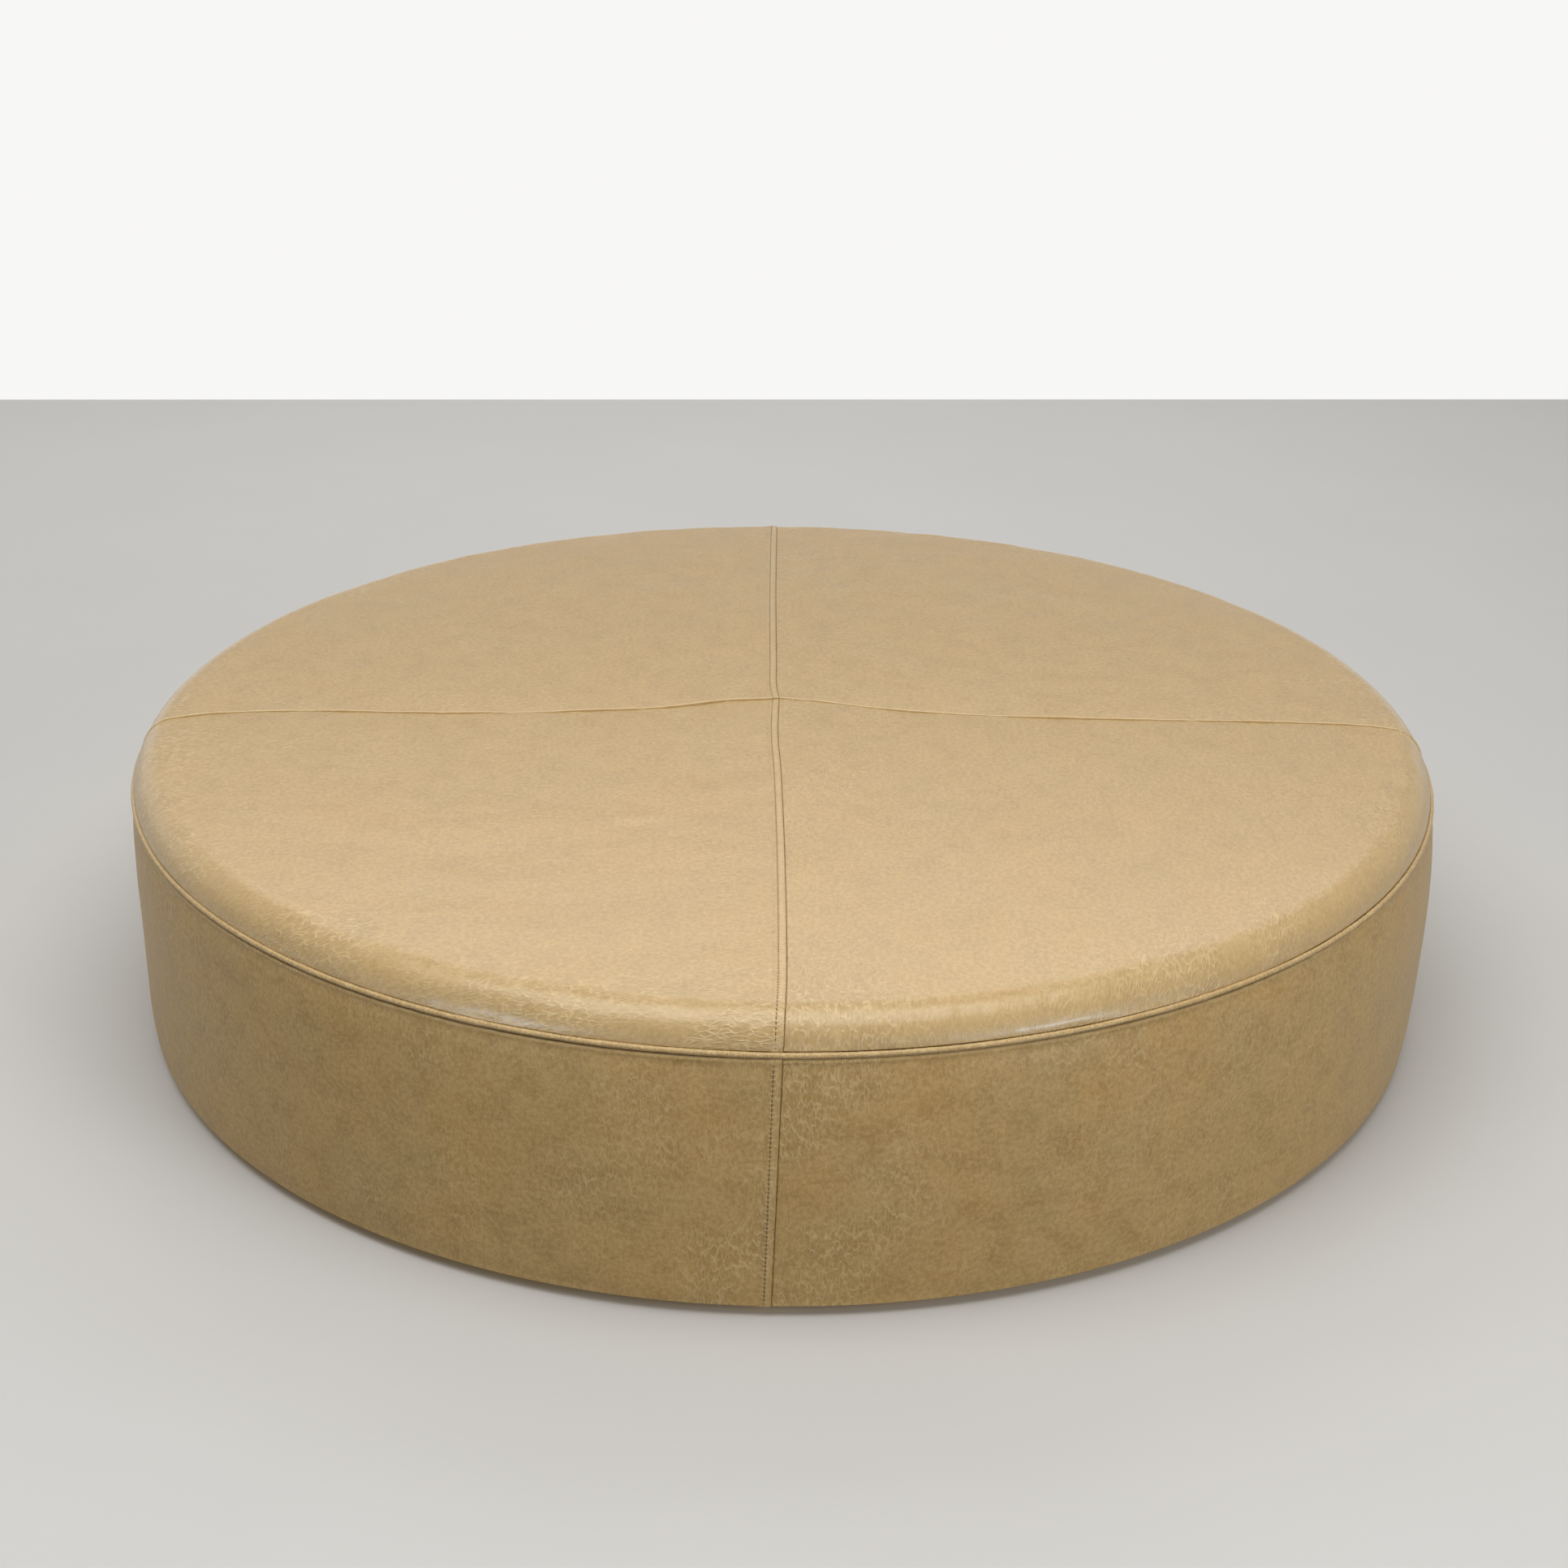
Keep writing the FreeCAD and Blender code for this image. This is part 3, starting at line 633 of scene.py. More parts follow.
def blown(name, points, faces, held):
    """How far air pressure moves the points of a cloth that is held fast at some of them."""
    piece = new_piece(name, points, faces, TOP_LEATHER)
    group = piece.vertex_groups.new(name="held")
    group.add(np.flatnonzero(held).tolist(), 1, "REPLACE")
    cloth = piece.modifiers.new("cloth", "CLOTH").settings
    cloth.quality = 4
    cloth.mass = 0.6
    cloth.bending_stiffness = 2
    cloth.vertex_group_mass = "held"
    cloth.use_pressure = True
    cloth.uniform_pressure_force = SWELL_PRESSURE
    cloth.effector_weights.gravity = 0
    scene = bpy.context.scene
    for number in range(1, SWELL_FRAMES + 1):
        scene.frame_set(number)
    evaluated = piece.evaluated_get(bpy.context.evaluated_depsgraph_get())
    moved = np.array([v.co for v in evaluated.data.vertices]) - np.reshape(points, (-1, 3))
    scene.frame_set(1)
    bpy.data.objects.remove(piece)
    return np.linalg.norm(moved, axis=1)


def capped(lift, most):
    """Lifts scaled so that the middling ones come to 0.8 of most, and none passes it."""
    return most * np.tanh(lift / max(np.percentile(lift, 70), 1e-9))


def swell_of_top():
    """The top's swelling, on a square grid that has one quarter of the leather to each of its quadrants."""
    side = 2 * math.ceil(ROLL_LENGTH / SWELL_CELL) + 1
    spread = (np.arange(side) - side // 2) * SWELL_CELL
    x, y = np.meshgrid(spread, spread, indexing="ij")
    along = np.hypot(x, y)
    held = (np.abs(x) < SWELL_CELL / 2) | (np.abs(y) < SWELL_CELL / 2) | (along > DOME_LENGTH)
    points = np.stack([x, y, crown_profile(np.minimum(along, DOME_LENGTH))[1]], axis=-1)
    lift = blown("top_cloth", points, grid_faces(side, side), held.ravel())
    return capped(lift, TOP_SWELL).reshape(side, side)


def swell_of_side():
    """The side's swelling, on a grid of rows down and columns round, with the four seams evenly spaced."""
    rows = math.ceil(SIDE_DROP / SWELL_CELL) + 1
    columns = 4 * round(TURN * COVER_RADIUS / 4 / SWELL_CELL)
    down = np.linspace(SIDE_FACE, SIDE_HEM, rows)[:, None] + np.zeros(columns)
    angle = np.arange(columns) / columns * TURN + np.zeros((rows, 1))
    radius, height, _ = side_profile(down)
    points = np.stack([radius * np.cos(angle), radius * np.sin(angle), height], axis=-1)
    held = np.zeros((rows, columns), bool)
    held[[0, -1]] = True
    held[:, :: columns // 4] = True
    faces = grid_faces(rows, columns, closed_columns=True)
    lift = blown("side_cloth", points, faces, held.ravel())
    return capped(lift, SIDE_SWELL).reshape(rows, columns)


def sampled(grid, row, column):
    """A grid's values between its points, by cubic curves both ways; columns go round and rows stop."""

    def weights(t):
        return (
            ((2 - t) * t - 1) * t / 2,
            (t * t * (3 * t - 5) + 2) / 2,
            ((4 - 3 * t) * t + 1) * t / 2,
            (t - 1) * t * t / 2,
        )

    i, j = np.floor(row).astype(int), np.floor(column).astype(int)
    found = np.zeros(np.shape(row))
    for di, a in enumerate(weights(row - i), start=-1):
        for dj, b in enumerate(weights(column - j), start=-1):
            found += a * b * grid[np.clip(i + di, 0, grid.shape[0] - 1), (j + dj) % grid.shape[1]]
    return found


SWELL = {"top": swell_of_top(), "side": swell_of_side()}


def swell(top, number, part, along):
    """The simulated swelling at part of the way round a quarter of the cover."""
    if not SWELL:
        return 0
    if top:
        turn = (number + part) * math.pi / 2
        middle = SWELL["top"].shape[0] // 2
        x, y = along * np.cos(turn) / SWELL_CELL, along * np.sin(turn) / SWELL_CELL
        return sampled(SWELL["top"], middle + x, middle + y)
    rows, columns = SWELL["side"].shape
    down = np.clip((along - SIDE_FACE) / SIDE_DROP, 0, 1) * (rows - 1)
    return sampled(SWELL["side"], down, (number + part) / 4 * columns)


# ---- leather panels ----

NEAR_SEAM = np.concatenate([
    EDGE_RADIUS * (1 - np.cos(np.linspace(0, math.pi / 2, 6))),
    np.arange(1.5, 6.4, 0.8) * MM,
    np.arange(6.6, 9.6, 0.4) * MM,
    np.arange(10, 14.5, 0.9) * MM,
    np.arange(15.5, 32, 2.4) * MM,
])
TOP_HILLS = ((0.30, 95, 80), (0.10, 31, 27), (0.035, 12, 10))
ROLL_HILLS = ((0.16, 11, 34), (0.35, 48, 60))
SIDE_HILLS = ((0.45, 130, 85), (0.12, 34, 30))
UNDER_WELT_HILLS = ((0.30, 11, 40),)
PATCH_HILLS = ((0.14, 8, 26),)
TOP_EDGE_RISE = 1.3 * MM
BULGE_TOWARDS = math.radians(-25)
BULGE = 3.2 * MM


def bounded_angles(name):
    first, last = QUARTERS[name][:2]
    start = math.radians(SEAMS[first][0])
    return start, start + (math.radians(SEAMS[last][0] - SEAMS[first][0]) % TURN)


def side_lean(angle, along):
    """The padding sits a little to one side, so the wall bulges there and is flat opposite."""
    down = np.clip((along - SIDE_FACE) / SIDE_DROP, 0, 1)
    belly = np.sin(math.pi * down**0.8) ** 0.9
    return BULGE * (1 + np.cos(angle - BULGE_TOWARDS)) * belly


def top_lift(number, name, along, first, last):
    """How far the top's leather stands off its smooth shape, with its distances from its two seams."""
    seed = 10 * number
    on_face = smooth(ROLL_LENGTH + 1 * MM, ROLL_LENGTH - 6 * MM, along)
    first_kind, last_kind = QUARTERS[name][2:]
    lift = beside_seam(first_kind, first, along, seed) + beside_seam(last_kind, last, along, seed + 1)
    rolling = smooth(DOME_LENGTH - 25 * MM, DOME_LENGTH + 12 * MM, along)
    relief = hilly(TOP_HILLS, first, along, seed + 2) + rolling * hilly(ROLL_HILLS, first, along, seed + 5)
    part = first / np.maximum(first + last, 1e-9)
    return lift + on_face * (relief + swell(True, number, part, along))


def side_lift(number, name, along, first, last, angle):
    """How far the side's leather stands off its smooth shape."""
    seed = 10 * number + 100
    on_face = smooth(SIDE_FACE, SIDE_FACE + 5 * MM, along) * smooth(SIDE_HEM, SIDE_HEM - 5 * MM, along)
    lift = beside_seam("plain", first, along, seed) + beside_seam("topstitched", last, along, seed + 1)
    under_welt = np.exp(-np.maximum(along - SIDE_FACE, 0) / (34 * MM))
    patches = smooth(0.1, 1.3, lumps(first, along, (110 * MM, 90 * MM), seed + 2))
    relief = hilly(SIDE_HILLS, first, along, seed + 3)
    relief += under_welt * hilly(UNDER_WELT_HILLS, first, along, seed + 5)
    relief += patches * hilly(PATCH_HILLS, first, along, seed + 6)
    part = first / (first + last)
    lift += TOP_EDGE_RISE * near(along, SIDE_FACE, 3 * MM)
    return lift + on_face * (relief + swell(False, number, part, along)) + side_lean(angle, along)


def spread_across(length, middle_columns):
    """Distances across a panel for each row's length, closer together beside its two seams."""
    start = NEAR_SEAM * np.minimum(1, length / (2.5 * NEAR_SEAM[-1]))[:, None]
    end = length[:, None] - start[:, ::-1]
    parts = np.linspace(0, 1, middle_columns + 2)[1:-1]
    between = start[:, -1:] + (end[:, :1] - start[:, -1:]) * parts
    return np.hstack([start, between, end])


def panel(number, name, top):
    """One quarter of the cover's top or side, its cut edges turned down into the seams, and its fields."""
    start, end = bounded_angles(name)
    rows, middle_columns = (TOP_ROWS, 270) if top else (SIDE_ROWS, 300)
    radius = profile_radius(top, rows)
    length = radius * (end - start)
    first = spread_across(length, middle_columns)
    last = length[:, None] - first
    along = rows[:, None] + np.zeros_like(first)
    angle = start + first / radius[:, None]
    if top:
        lift = top_lift(number, name, along, first, last)
    else:
        lift = side_lift(number, name, along, first, last, angle)

    def widened(values, edge=0):
        return np.hstack([values[:, :1] - edge, values, values[:, -1:] - edge])

    lift = widened(lift, FLANGE)
    along, angle, first, last = map(widened, (along, angle, first, last))
    points = place(top, along, angle, lift)
    fields = shade_highlight_and_row(number, name, top, along, first, last)
    fields["drawn"] = drawn(top, number, along, first, last)
    if top:
        turned = angle + seam_turn(True, along, angle) + math.radians(HIDE_TURN[name])
        flat = [along * np.cos(turned), along * np.sin(turned), np.full_like(along, 3.7 * number)]
    else:
        flat = [first, along, np.full_like(along, 3.7 * number + 1.9)]
    fields["flat"] = np.stack(flat, axis=-1)
    return points, fields


def shade_highlight_and_row(number, name, top, along, first, last):
    """Painted shade in the creases, painted highlights on raised edges with some rubbed wear over the crown's
    roll, and the pucker row, as strengths from 0 to 1.
    """
    if top:
        kinds = QUARTERS[name][2:]
        # painted shade in the crease where the crown's roll meets the bead
        crease_shade = 0.4 * near(along, ROLL_LENGTH + 1 * MM, 1.1 * MM)
        # lighter over the crown's roll: rubbed wear and a painted highlight
        wear_and_highlight = 0.24 * smooth(DOME_LENGTH, DOME_LENGTH + 28 * MM, along)
    else:
        kinds = ("plain", "topstitched")
        # painted shade just under the bead
        crease_shade = 0.6 * near(along, SIDE_FACE - 3.2 * MM, 1.1 * MM)
        # painted highlight, unevenly strong, where the side's folded top edge catches the light
        uneven_edge_light = 0.8 + 0.25 * lumps(first, along, (6 * MM, 5 * MM), number)
        wear_and_highlight = uneven_edge_light * near(along, SIDE_FACE - 1.9 * MM, 1.1 * MM)
    # how strong the painted shade is in each seam's mouth
    mouths = {"ridged": 0.1, "plain": 0.3 if top else 0.46, "topstitched": 0.46}
    row_depth = 0.5 if top and name.startswith("front") else 1.0
    row = np.zeros_like(along)
    for kind, distance in zip(kinds, (first, last)):
        crease_shade = np.maximum(crease_shade, mouths[kind] * near(distance, 0, 0.75 * MM))
        if kind == "topstitched":
            # painted shade along the stitch row
            crease_shade = np.maximum(crease_shade, 0.3 * row_depth * near(distance, STITCH_ROW, 0.6 * MM))
            # painted highlight on the raised band between the seam and the stitch row
            wear_and_highlight = np.maximum(wear_and_highlight, 0.22 * near(distance, 4.5 * MM, 2.6 * MM))
            row = row_depth * near(distance, STITCH_ROW, 2.0 * MM)
        elif kind == "ridged":
            # painted highlight along the top of the ridge
            wear_and_highlight = np.maximum(wear_and_highlight, 0.9 * near(distance, 0.9 * MM, 1.2 * MM))
    return {"crease_shade": crease_shade, "wear_and_highlight": wear_and_highlight, "row": row}


def drawn(top, number, along, first, last):
    """How drawn and wrinkled the leather is: in patches beside the seams, and over the crown's roll."""
    beside = near(np.minimum(first, last), 0, 110 * MM)
    patches = smooth(-0.6, 1.4, lumps(first, along, (60 * MM, 75 * MM), 60 + number))
    if top:
        rolling = smooth(DOME_LENGTH - 60 * MM, DOME_LENGTH + 20 * MM, along)
        return np.clip(0.3 * beside * patches + rolling * (0.12 + 0.75 * patches), 0, 1)
    upper = smooth(SIDE_HEM, SIDE_FACE, along)
    return np.clip(beside * (0.35 * upper + 0.6 * patches) + 0.3 * patches, 0, 1)


def steps(stops):
    """Distances from stop to stop, as (step, stop) pairs, each stop met exactly."""
    found, at = [], 0.3 * MM
    for step, stop in stops:
        count = max(1, round((stop - at) / step))
        found.append(np.linspace(at, stop, count, endpoint=False))
        at = stop
    return np.concatenate(found + [[at]])


TOP_ROWS = steps((
    (1.2 * MM, 24 * MM),
    (4 * MM, DOME_LENGTH - 4 * MM),
    (2 * MM, ROLL_LENGTH - 3 * MM),
    (0.6 * MM, total(CROWN)),
))
SIDE_ROWS = steps((
    (1.5 * MM, SIDE[0][0]),
    (0.6 * MM, SIDE_FACE + 3 * MM),
    (3 * MM, SIDE_HEM),
    (0.5 * MM, SIDE_HEM + SIDE[3][0]),
    (6 * MM, total(SIDE)),
))


def leather_piece(number, name, top):
    kind, material = ("top", TOP_LEATHER) if top else ("side", SIDE_LEATHER)
    points, fields = panel(number, name, top)
    faces = grid_faces(*points.shape[:2])
    piece = new_piece(f"{kind}_leather_{name}", points, faces, material, f"{kind}_leather", **fields)
    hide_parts(f"{kind}_panel_{name}")
    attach(piece, "root")
    return piece


def cover_panels():
    """The eight leathers, in place of the CAD's panels."""
    for number, name in enumerate(QUARTERS):
        leather_piece(number, name, True)
        leather_piece(number, name, False)


# ---- stitches ----

THREAD_RADIUS = 0.42 * MM
STITCH_LENGTH = 3.9 * MM
STITCH_ARCH = 0.42 * MM
STITCH_SINK = 0.32 * MM


def stitch_row(name, centres, ways, faces_out, seed):
    """A row of short arched threads, each dipping into its holes at both ends."""
    sections, sides = np.linspace(-1, 1, 7), 6
    spin = np.arange(sides) / sides * TURN
    random = np.random.default_rng(seed)
    points = []
    for centre, way, out in zip(centres, ways, faces_out):
        way = way / np.linalg.norm(way)
        beside = np.cross(out, way)
        way = way + beside * random.uniform(-0.06, 0.02)
        half = STITCH_LENGTH / 2 * random.uniform(0.94, 1.06)
        for t in sections:
            thick = THREAD_RADIUS * (1 - 0.45 * t**4)
            middle = centre + way * half * t + out * (STITCH_ARCH * (1 - t * t) - STITCH_SINK)
            points.extend(middle + thick * (math.cos(a) * beside + math.sin(a) * out) for a in spin)
    tube = grid_faces(len(sections), sides, closed_columns=True)
    faces = np.concatenate([tube + len(sections) * sides * i for i in range(len(centres))])
    piece = new_piece(name, np.array(points), faces, THREAD, "cord_and_thread")
    with editing(piece) as work:
        bmesh.ops.holes_fill(work, edges=[e for e in work.edges if e.is_boundary])
        bmesh.ops.recalc_face_normals(work, faces=work.faces)
    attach(piece, "root")


def stitches_between(start, end):
    """Where the stitches of a row stand, half a pitch off the puckers drawn in the leather."""
    return (np.arange(math.ceil(start / STITCH_PITCH), math.floor(end / STITCH_PITCH)) + 0.5) * STITCH_PITCH


def top_stitches():
    """The row down the left of the long seam, from the back edge to the front one."""
    reach = ROLL_LENGTH - 8 * MM
    y = stitches_between(-reach, reach)

    def surface(y, off):
        along = np.hypot(STITCH_ROW + off, y)
        angle = np.arctan2(y, -(STITCH_ROW + off)) % TURN
        lift = np.zeros_like(y)
        for number, name in ((1, "back_left"), (2, "front_left")):
            start, end = bounded_angles(name)
            radius = crown_profile(along)[0]
            here = (y > 0) == (name == "back_left")
            first, last = radius * (angle - start), radius * (end - angle)
            there = top_lift(number, name, along, np.maximum(first, 0), np.maximum(last, 0))
            lift = np.where(here, there, lift)
        return place(True, along, angle, lift)

    centres = surface(y, 0)
    ways = surface(y + 1 * MM, 0) - surface(y - 1 * MM, 0)
    outwards = np.cross(surface(y, -2 * MM) - surface(y, 2 * MM), ways)
    outwards /= np.linalg.norm(outwards, axis=1)[:, None]
    stitch_row("top_seam_stitches", centres, ways, outwards, 71)


def side_stitches():
    """A row beside each side seam, a little further from it at the top than at the hem."""
    for number, name in enumerate(QUARTERS):
        start, end = bounded_angles(name)
        along = stitches_between(SIDE_FACE + 4 * MM, SIDE_HEM - 2 * MM)
        down = (along - SIDE_FACE) / SIDE_DROP

        def surface(along, off):
            last = STITCH_ROW + 0.5 * MM - 1.5 * MM * down + off
            first = COVER_RADIUS * (end - start) - last
            angle = end - last / COVER_RADIUS
            return place(False, along, angle, side_lift(number, name, along, first, last, angle))

        centres = surface(along, 0)
        ways = surface(along + 1 * MM, 0) - surface(along - 1 * MM, 0)
        outwards = centres * (1, 1, 0)
        outwards /= np.linalg.norm(outwards, axis=1)[:, None]
        stitch_row(f"side_seam_stitches_{QUARTERS[name][1]}", centres, ways, outwards, 80 + number)


# ---- welt ----

WELT_STEPS = 2400
WELT_SIDES = 14


def welt():
    """The piped bead between top and side: leather round a cord, with its section a little uneven."""
    turn = (np.arange(WELT_STEPS) / WELT_STEPS * TURN)[:, None]
    spin = (np.arange(WELT_SIDES) / WELT_SIDES * TURN)[None, :]
    run = turn * WELT_RING
    section = WELT_RADIUS * (1 + 0.03 * lumps(run, 0 * run, (14 * MM, 1), 5))
    section = section + 0.07 * MM * lumps(run, spin * WELT_RADIUS, (3.2 * MM, 6 * MM), 6)
    up = 0.35 * MM * lumps(run, 0 * run, (120 * MM, 1), 7)
    out = WELT_RING + side_lean(turn, SIDE_FACE + 0.1 * SIDE_DROP + 0 * turn) * 0.25
    radius = out + section * np.cos(spin)
    height = WELT_HEIGHT + up + section * np.sin(spin)
    turn = turn + 0 * spin
    points = np.stack([radius * np.cos(turn), radius * np.sin(turn), height], axis=-1)
    flat = np.stack([run + 0 * spin, spin * WELT_RADIUS + 0 * run, 0 * turn + 20], axis=-1)
    faces = grid_faces(WELT_STEPS, WELT_SIDES, True, True)
    facing = np.sin(spin + 0 * turn)
    fields = {
        "flat": flat,
        # painted shade on the bead's underside
        "crease_shade": 0.5 * smooth(-0.6, -1, facing),
        # painted highlight on the bead's top
        "wear_and_highlight": 0.35 * smooth(0.2, 0.9, facing),
        "drawn": np.full_like(facing, 0.8),
    }
    piece = new_piece("welt_leather_bead", points, faces, WELT_LEATHER, "welt_leather", **fields)
    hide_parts("welt_cover")
    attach(piece, "root")


# ---- padding ----

# depths under the leather's face, and how full each padding is
SOFT_SEGMENTS = 240
BATTING_FACE = FLANGE + EDGE_RADIUS + 0.2 * MM
BATTING_BACK = 7.7 * MM
FOAM_FACE = 8.3 * MM
BATTING_FILL = 0.4
FOAM_FILL = 0.9


def rounded(corners, passes):
    """A closed outline with its corners cut back, pass by pass."""
    for _ in range(passes):
        following = np.roll(corners, -1, axis=0)
        cut = np.stack([0.75 * corners + 0.25 * following, 0.25 * corners + 0.75 * following], axis=1)
        corners = cut.reshape(-1, 2)
    return corners


def dense(corners, step):
    """A closed outline with points no further apart than step."""
    found = []
    for here, there in zip(corners, np.roll(corners, -1, axis=0)):
        count = max(1, math.ceil(np.linalg.norm(there - here) / step))
        found.append(here + (there - here) * (np.arange(count) / count)[:, None])
    return np.concatenate(found)


def soft_ring(name, node, outline, material, slot_name, lump, seed):
    """Padding turned from a closed (radius, height) outline, its faces gently uneven."""
    outline = dense(rounded(np.array(outline), 2), 12 * MM)
    turn = np.arange(SOFT_SEGMENTS) / SOFT_SEGMENTS * TURN
    radius, height = outline[:, 0][:, None] + 0 * turn, outline[:, 1][:, None] + 0 * turn
    hills = lumps(COVER_RADIUS * turn[None, :], 0.6 * radius + height, (42 * MM, 31 * MM), seed)
    uneven = lump * np.tanh(hills)
    radius = np.maximum(radius - np.abs(uneven) * (radius > 10 * MM), 0)
    points = np.stack([radius * np.cos(turn), radius * np.sin(turn), height - np.abs(uneven)], axis=-1)
    faces = grid_faces(*radius.shape, True, True)[:, ::-1]
    piece = new_piece(name, points, faces, material, slot_name)
    with editing(piece) as work:
        bmesh.ops.remove_doubles(work, verts=work.verts, dist=WELD)
    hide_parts(node)
    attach(piece, "root")


def crown_points(depth, bottom, count=40):
    """Points down the crown at a depth under the leather's face, to a height."""
    along = np.linspace(0, ROLL_LENGTH, count)
    radius, height, lean = crown_profile(along)
    points = np.stack([radius - depth * np.sin(lean), height - depth * np.cos(lean)], axis=1)
    return [tuple(p) for p in points if p[1] > bottom + 4 * MM]


def padding():
    """Batting over foam, on top and round the side, and the cord in the welt."""
    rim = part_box("top_batting")[0].z
    low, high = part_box("top_foam")
    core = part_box("skin_front")[1].x
    outer = crown_points(BATTING_FACE, rim)
    inner = crown_points(BATTING_BACK, rim)
    shell = outer + [(outer[-1][0], rim), (inner[-1][0], rim)] + inner[::-1]
    soft_ring("top_batting_pad", "top_batting", shell, BATTING, "batting", 0.4 * MM, 31)
    block = crown_points(FOAM_FACE, rim)
    block = block + [(block[-1][0], rim), (core, rim), (core, low.z), (0, low.z)]
    soft_ring("top_foam_slab", "top_foam", block, FOAM, "foam", 0.5 * MM, 32)
    for name, node, material, slot_name, lump, fill in (
        ("side_batting_pad", "side_batting", BATTING, "batting", 0.5 * MM, BATTING_FILL),
        ("side_foam_band", "side_foam", FOAM, "foam", 0.3 * MM, FOAM_FILL),
    ):
        low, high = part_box(node)
        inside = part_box("side_foam")[1].x if node == "side_batting" else core
        outside = high.x - (2.6 * MM if node == "side_batting" else 0)
        wall = [(outside, low.z), (outside, high.z), (inside + 0.3 * MM, high.z), (inside + 0.3 * MM, low.z)]
        soft_ring(name, node, dense(np.array(wall), 20 * MM), material, slot_name, lump, 33)
    cord_low, cord_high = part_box("welt_cord")
    radius = (cord_high.z - cord_low.z) / 2
    spin = np.linspace(0, TURN, 8, endpoint=False)
    ring = [(WELT_RING + radius * math.cos(a), WELT_HEIGHT + radius * math.sin(a)) for a in spin]
    soft_ring("welt_piping_cord", "welt_cord", ring, CORD, "cord_and_thread", 0.1 * MM, 34)


# ---- underside ----

STAPLES = 48
GLIDES = 8
GLIDE_HOLE = 8.5 * MM


def dust_cover():
    """Cambric stapled up under the base: it sags a little between staples and has a hole at each glide."""
    low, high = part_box("dust_cover")
    radii = np.concatenate([np.linspace(0, high.x - 60 * MM, 44), np.linspace(high.x - 54 * MM, high.x, 12)])
    turn = np.arange(480) / 480 * TURN
    radius, turn = radii[:, None] + 0 * turn, turn + 0 * radii[:, None]
    slack = np.sin(math.pi * np.clip(radius / (high.x - 14 * MM), 0, 1)) ** 0.7
    pulled = smooth(high.x - 70 * MM, high.x - 20 * MM, radius) * smooth(high.x, high.x - 12 * MM, radius)
    sag = 1.0 * MM * slack + 0.25 * MM * slack * lumps(radius * turn, radius, (60 * MM, 70 * MM), 41)
    sag += 0.35 * MM * pulled * (0.5 - 0.5 * np.cos(STAPLES * turn))
    points = np.stack([radius * np.cos(turn), radius * np.sin(turn), high.z - np.maximum(sag, 0)], axis=-1)
    faces = grid_faces(*radius.shape, closed_columns=True)[:, ::-1]
    piece = new_piece("dust_cover_cambric", points, faces, CAMBRIC, "cambric")
    with editing(piece) as work:
        bmesh.ops.remove_doubles(work, verts=work.verts, dist=WELD)
        for number in range(1, GLIDES + 1):
            stem_low, stem_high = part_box(f"glide_stem_{number}")
            open_glide_hole(work, (stem_low + stem_high) / 2, GLIDE_HOLE)
    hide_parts("dust_cover")
    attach(piece, "root")


def open_glide_hole(work, stem, radius):
    """Cut a round hole for a glide's stem, in faces made finer round it."""

    def close_by(face):
        middle = face.calc_center_median()
        return math.hypot(middle.x - stem.x, middle.y - stem.y) < 2.2 * radius

    for _ in range(2):
        edges = {edge for face in work.faces if close_by(face) for edge in face.edges}
        bmesh.ops.subdivide_edges(work, edges=list(edges), cuts=1, use_grid_fill=True)
    inside = [v for v in work.verts if math.hypot(v.co.x - stem.x, v.co.y - stem.y) < radius]
    bmesh.ops.delete(work, geom=inside, context="VERTS")
    for vertex in work.verts:
        away = Vector((vertex.co.x - stem.x, vertex.co.y - stem.y))
        if vertex.is_boundary and away.length < 2 * radius:
            away *= radius / away.length
            vertex.co.x, vertex.co.y = stem.x + away.x, stem.y + away.y


def carried_over():
    """Better finishes for the CAD parts whose shape is already right."""
    finishes = (
        (ZINC, ("deck_screws", "base_screws", "tee_nuts", "glide_stem")),
        (WIRE, ("cover_staples", "dust_cover_staples", "skin_staples")),
        (PLYWOOD, ("deck_", "rail_", "base_", "skin_")),
        (PINE, ("post_",)),
        (NYLON, ("glide_pad",)),
    )
    for name, node in NODES.items():
        for material, starts in finishes:
            if name.startswith(starts):
                node.data.materials.clear()
                node.data.materials.append(material)
                break


# ---- studio ----

FLOOR_SIDES = 4.6
FLOOR_FRONT = -4.6
FLOOR_BACK = 2.7
FLOOR_SKEW = 0.04  # sets the far edge level in the picture, as the wall's foot is in the photo


def floor():
    """A plain pale floor, which doesn't throw light up onto the side."""
    f = Finish("pale_floor", specular=0)
    dust = f.noise(f.own_frame(), 3, detail=4)
    material = f.done(f.mix(dust, (0.58, 0.58, 0.58, 1), (0.61, 0.61, 0.61, 1)), 0.75)
    columns, rows = 24, 20
    across_it = np.linspace(-FLOOR_SIDES, FLOOR_SIDES, columns)
    x, y = np.meshgrid(across_it, np.linspace(FLOOR_FRONT, FLOOR_BACK, rows), indexing="ij")
    points = np.stack([x, y + FLOOR_SKEW * x, 0 * x], axis=-1)
    piece = new_piece("studio_floor", points, grid_faces(columns, rows)[:, ::-1], material)
    piece.visible_diffuse = False


def area_light(name, centre, aim, size, power, colour):
    """A rectangular soft box that faces its aim."""
    light = bpy.data.lights.new(name, "AREA")
    light.shape = "RECTANGLE"
    light.energy = power
    light.color = colour
    light.size, light.size_y = size
    lamp = bpy.data.objects.new(name, light)
    lamp.location = centre
    lamp.rotation_euler = (Vector(aim) - Vector(centre)).to_track_quat("-Z", "Y").to_euler()
    bpy.context.scene.collection.objects.link(lamp)
    return lamp


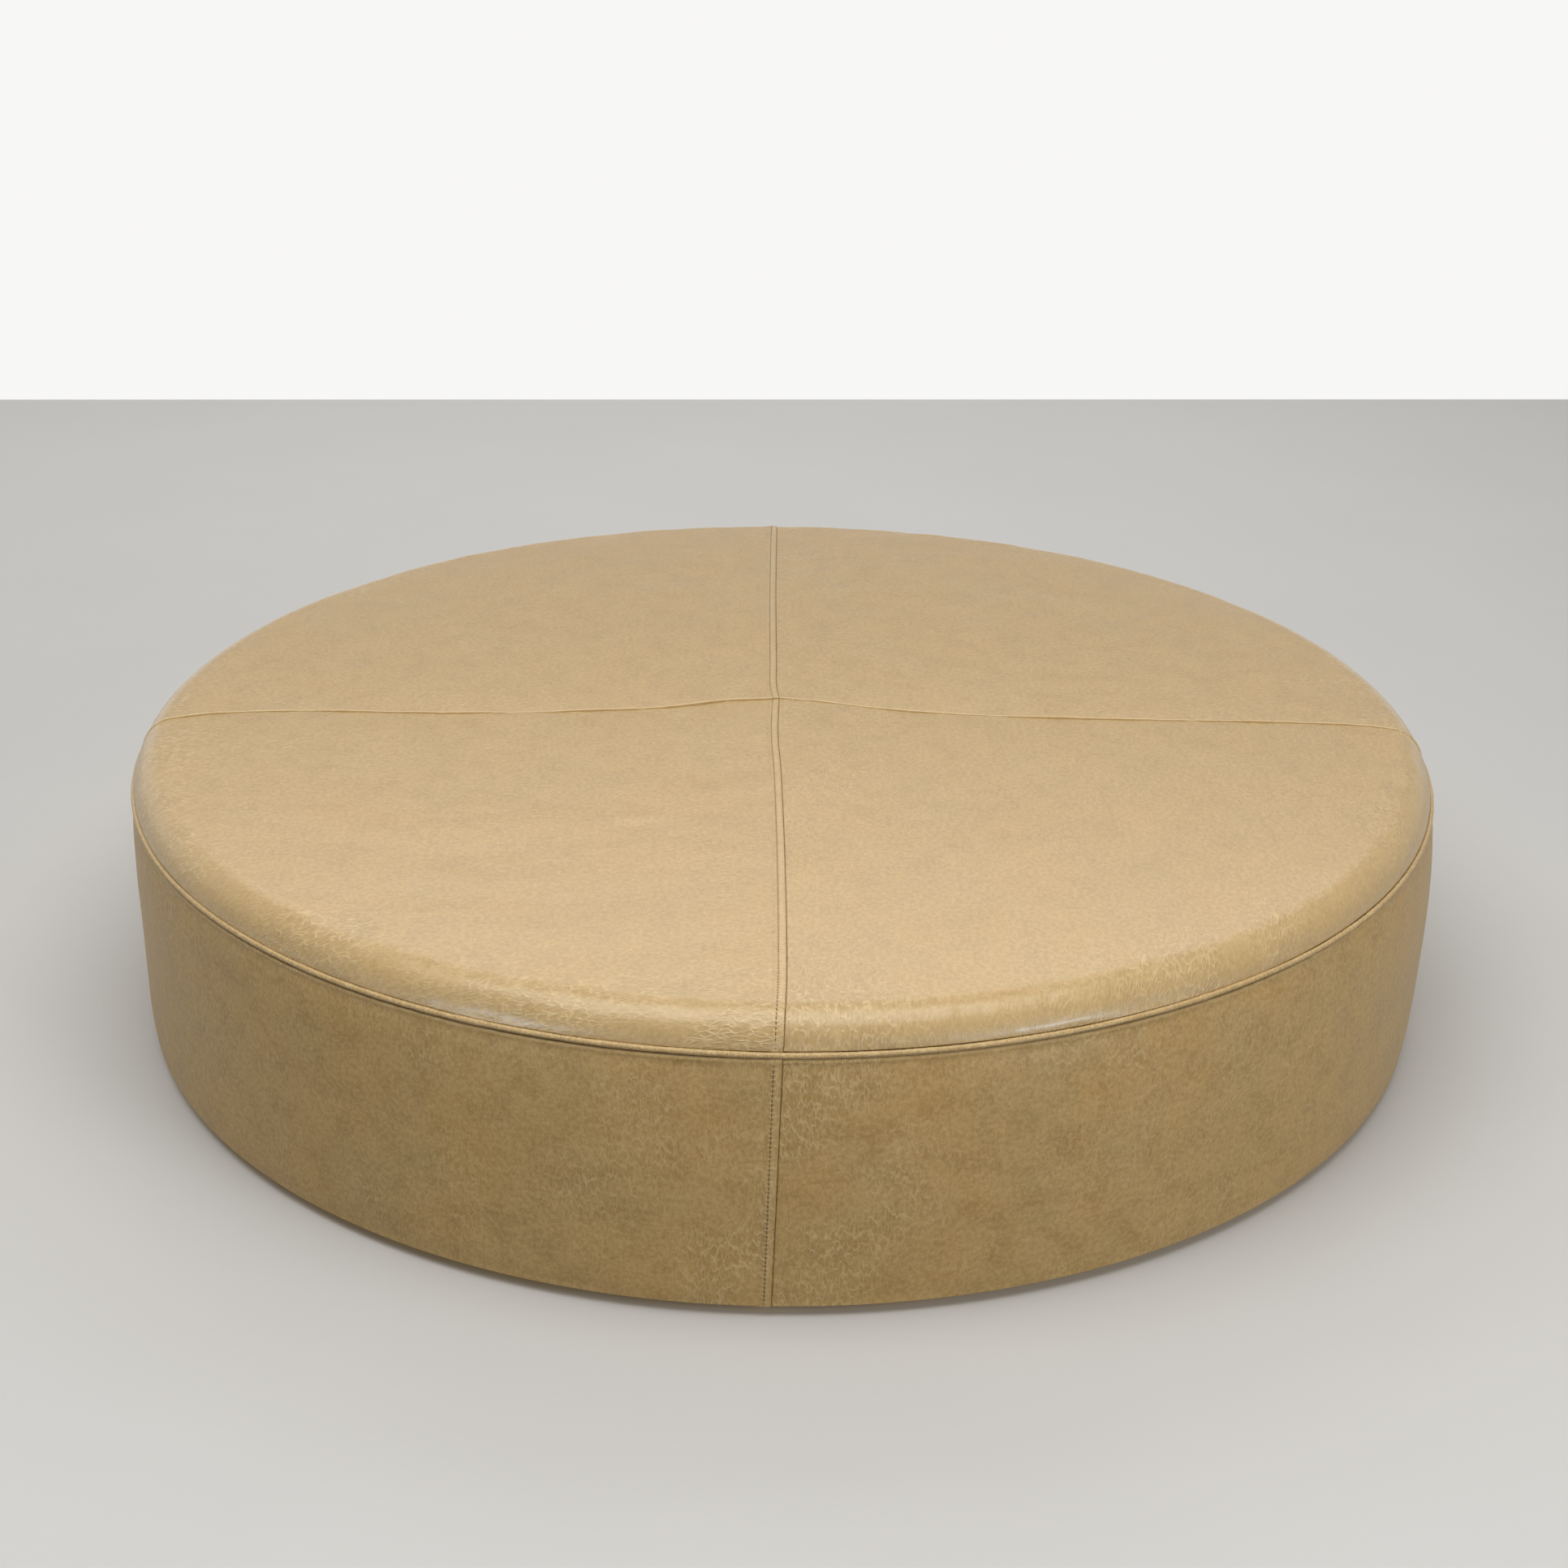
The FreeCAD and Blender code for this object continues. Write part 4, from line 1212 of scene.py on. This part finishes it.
def surround():
    """The world: a white wall behind, low down, and a dimmer room that is brighter toward the back."""
    world = bpy.data.worlds.new("studio")
    bpy.context.scene.world = world
    world.use_nodes = True
    n = Nodes(world.node_tree)
    direction = n.add("ShaderNodeTexCoord", {}, "Generated")
    back, up = [n.add("ShaderNodeSeparateXYZ", {0: direction}, axis) for axis in "YZ"]
    wall = n.times(n.remap(up, 0.0, 0.1, 1.0, 0.0), n.remap(back, 0.62, 0.88, 0.45, 0.935))
    room = n.remap(back, -0.35, 0.6, 0.24, 0.42)
    background = n.tree.nodes["Background"]
    background.inputs["Color"].default_value = (1, 0.995, 0.985, 1)
    n.connect(n.maths(wall, room, "MAXIMUM"), background.inputs["Strength"])


def lighting():
    """Two wide ceiling panels, soft boxes right and left, and two low windows seen only as a sheen."""
    surround()
    area_light("ceiling", (-0.3, -1.3, 3.05), (-0.3, -1.3, 0), (3.4, 2.1), 75, (1, 0.98, 0.94))
    area_light("back_ceiling", (0, 2.6, 2.9), (0, 2.4, 0), (5.0, 2.4), 62, (1, 0.965, 0.905))
    fill = area_light("right_box", (2.5, -3.0, 1.7), (0.2, -0.5, 0.2), (1.3, 1.3), 31, (1, 0.975, 0.93))
    fill.visible_glossy = False
    area_light("left_box", (-3.0, 2.0, 1.3), (-0.3, 0, 0.3), (2.4, 1.7), 5, (1, 0.98, 0.95))
    windows = (
        area_light("window", (2.6, -3.1, 0.12), (0.26, -0.72, 0.3), (0.9, 0.2), 32, (0.68, 0.84, 1)),
        area_light("far_window", (-2.5, -3.1, 0.12), (-0.26, -0.72, 0.3), (0.9, 0.2), 20, (0.68, 0.84, 1)),
    )
    for window in windows:
        window.visible_diffuse = False


LENS = 57.45
EYE = (-0.008, -2.7885, 1.4486)
LOOKING_DOWN = math.radians(23.52)
YAW = -0.0036
ROLL = 0.0111


def camera():
    """The photo's camera, fitted to the round outlines, with its colours shown as they are set."""
    lens = bpy.data.cameras.new("camera")
    lens.lens = LENS
    eye = bpy.data.objects.new("camera", lens)
    level = Euler((math.pi / 2 - LOOKING_DOWN, 0, YAW)).to_matrix()
    rolled = level @ Matrix.Rotation(ROLL, 3, "Z")
    eye.matrix_world = Matrix.Translation(EYE) @ rolled.to_4x4()
    scene = bpy.context.scene
    scene.collection.objects.link(eye)
    scene.camera = eye
    scene.view_settings.view_transform = "Standard"


camera()
lighting()
floor()
cover_panels()
top_stitches()
side_stitches()
welt()
padding()
dust_cover()
carried_over()
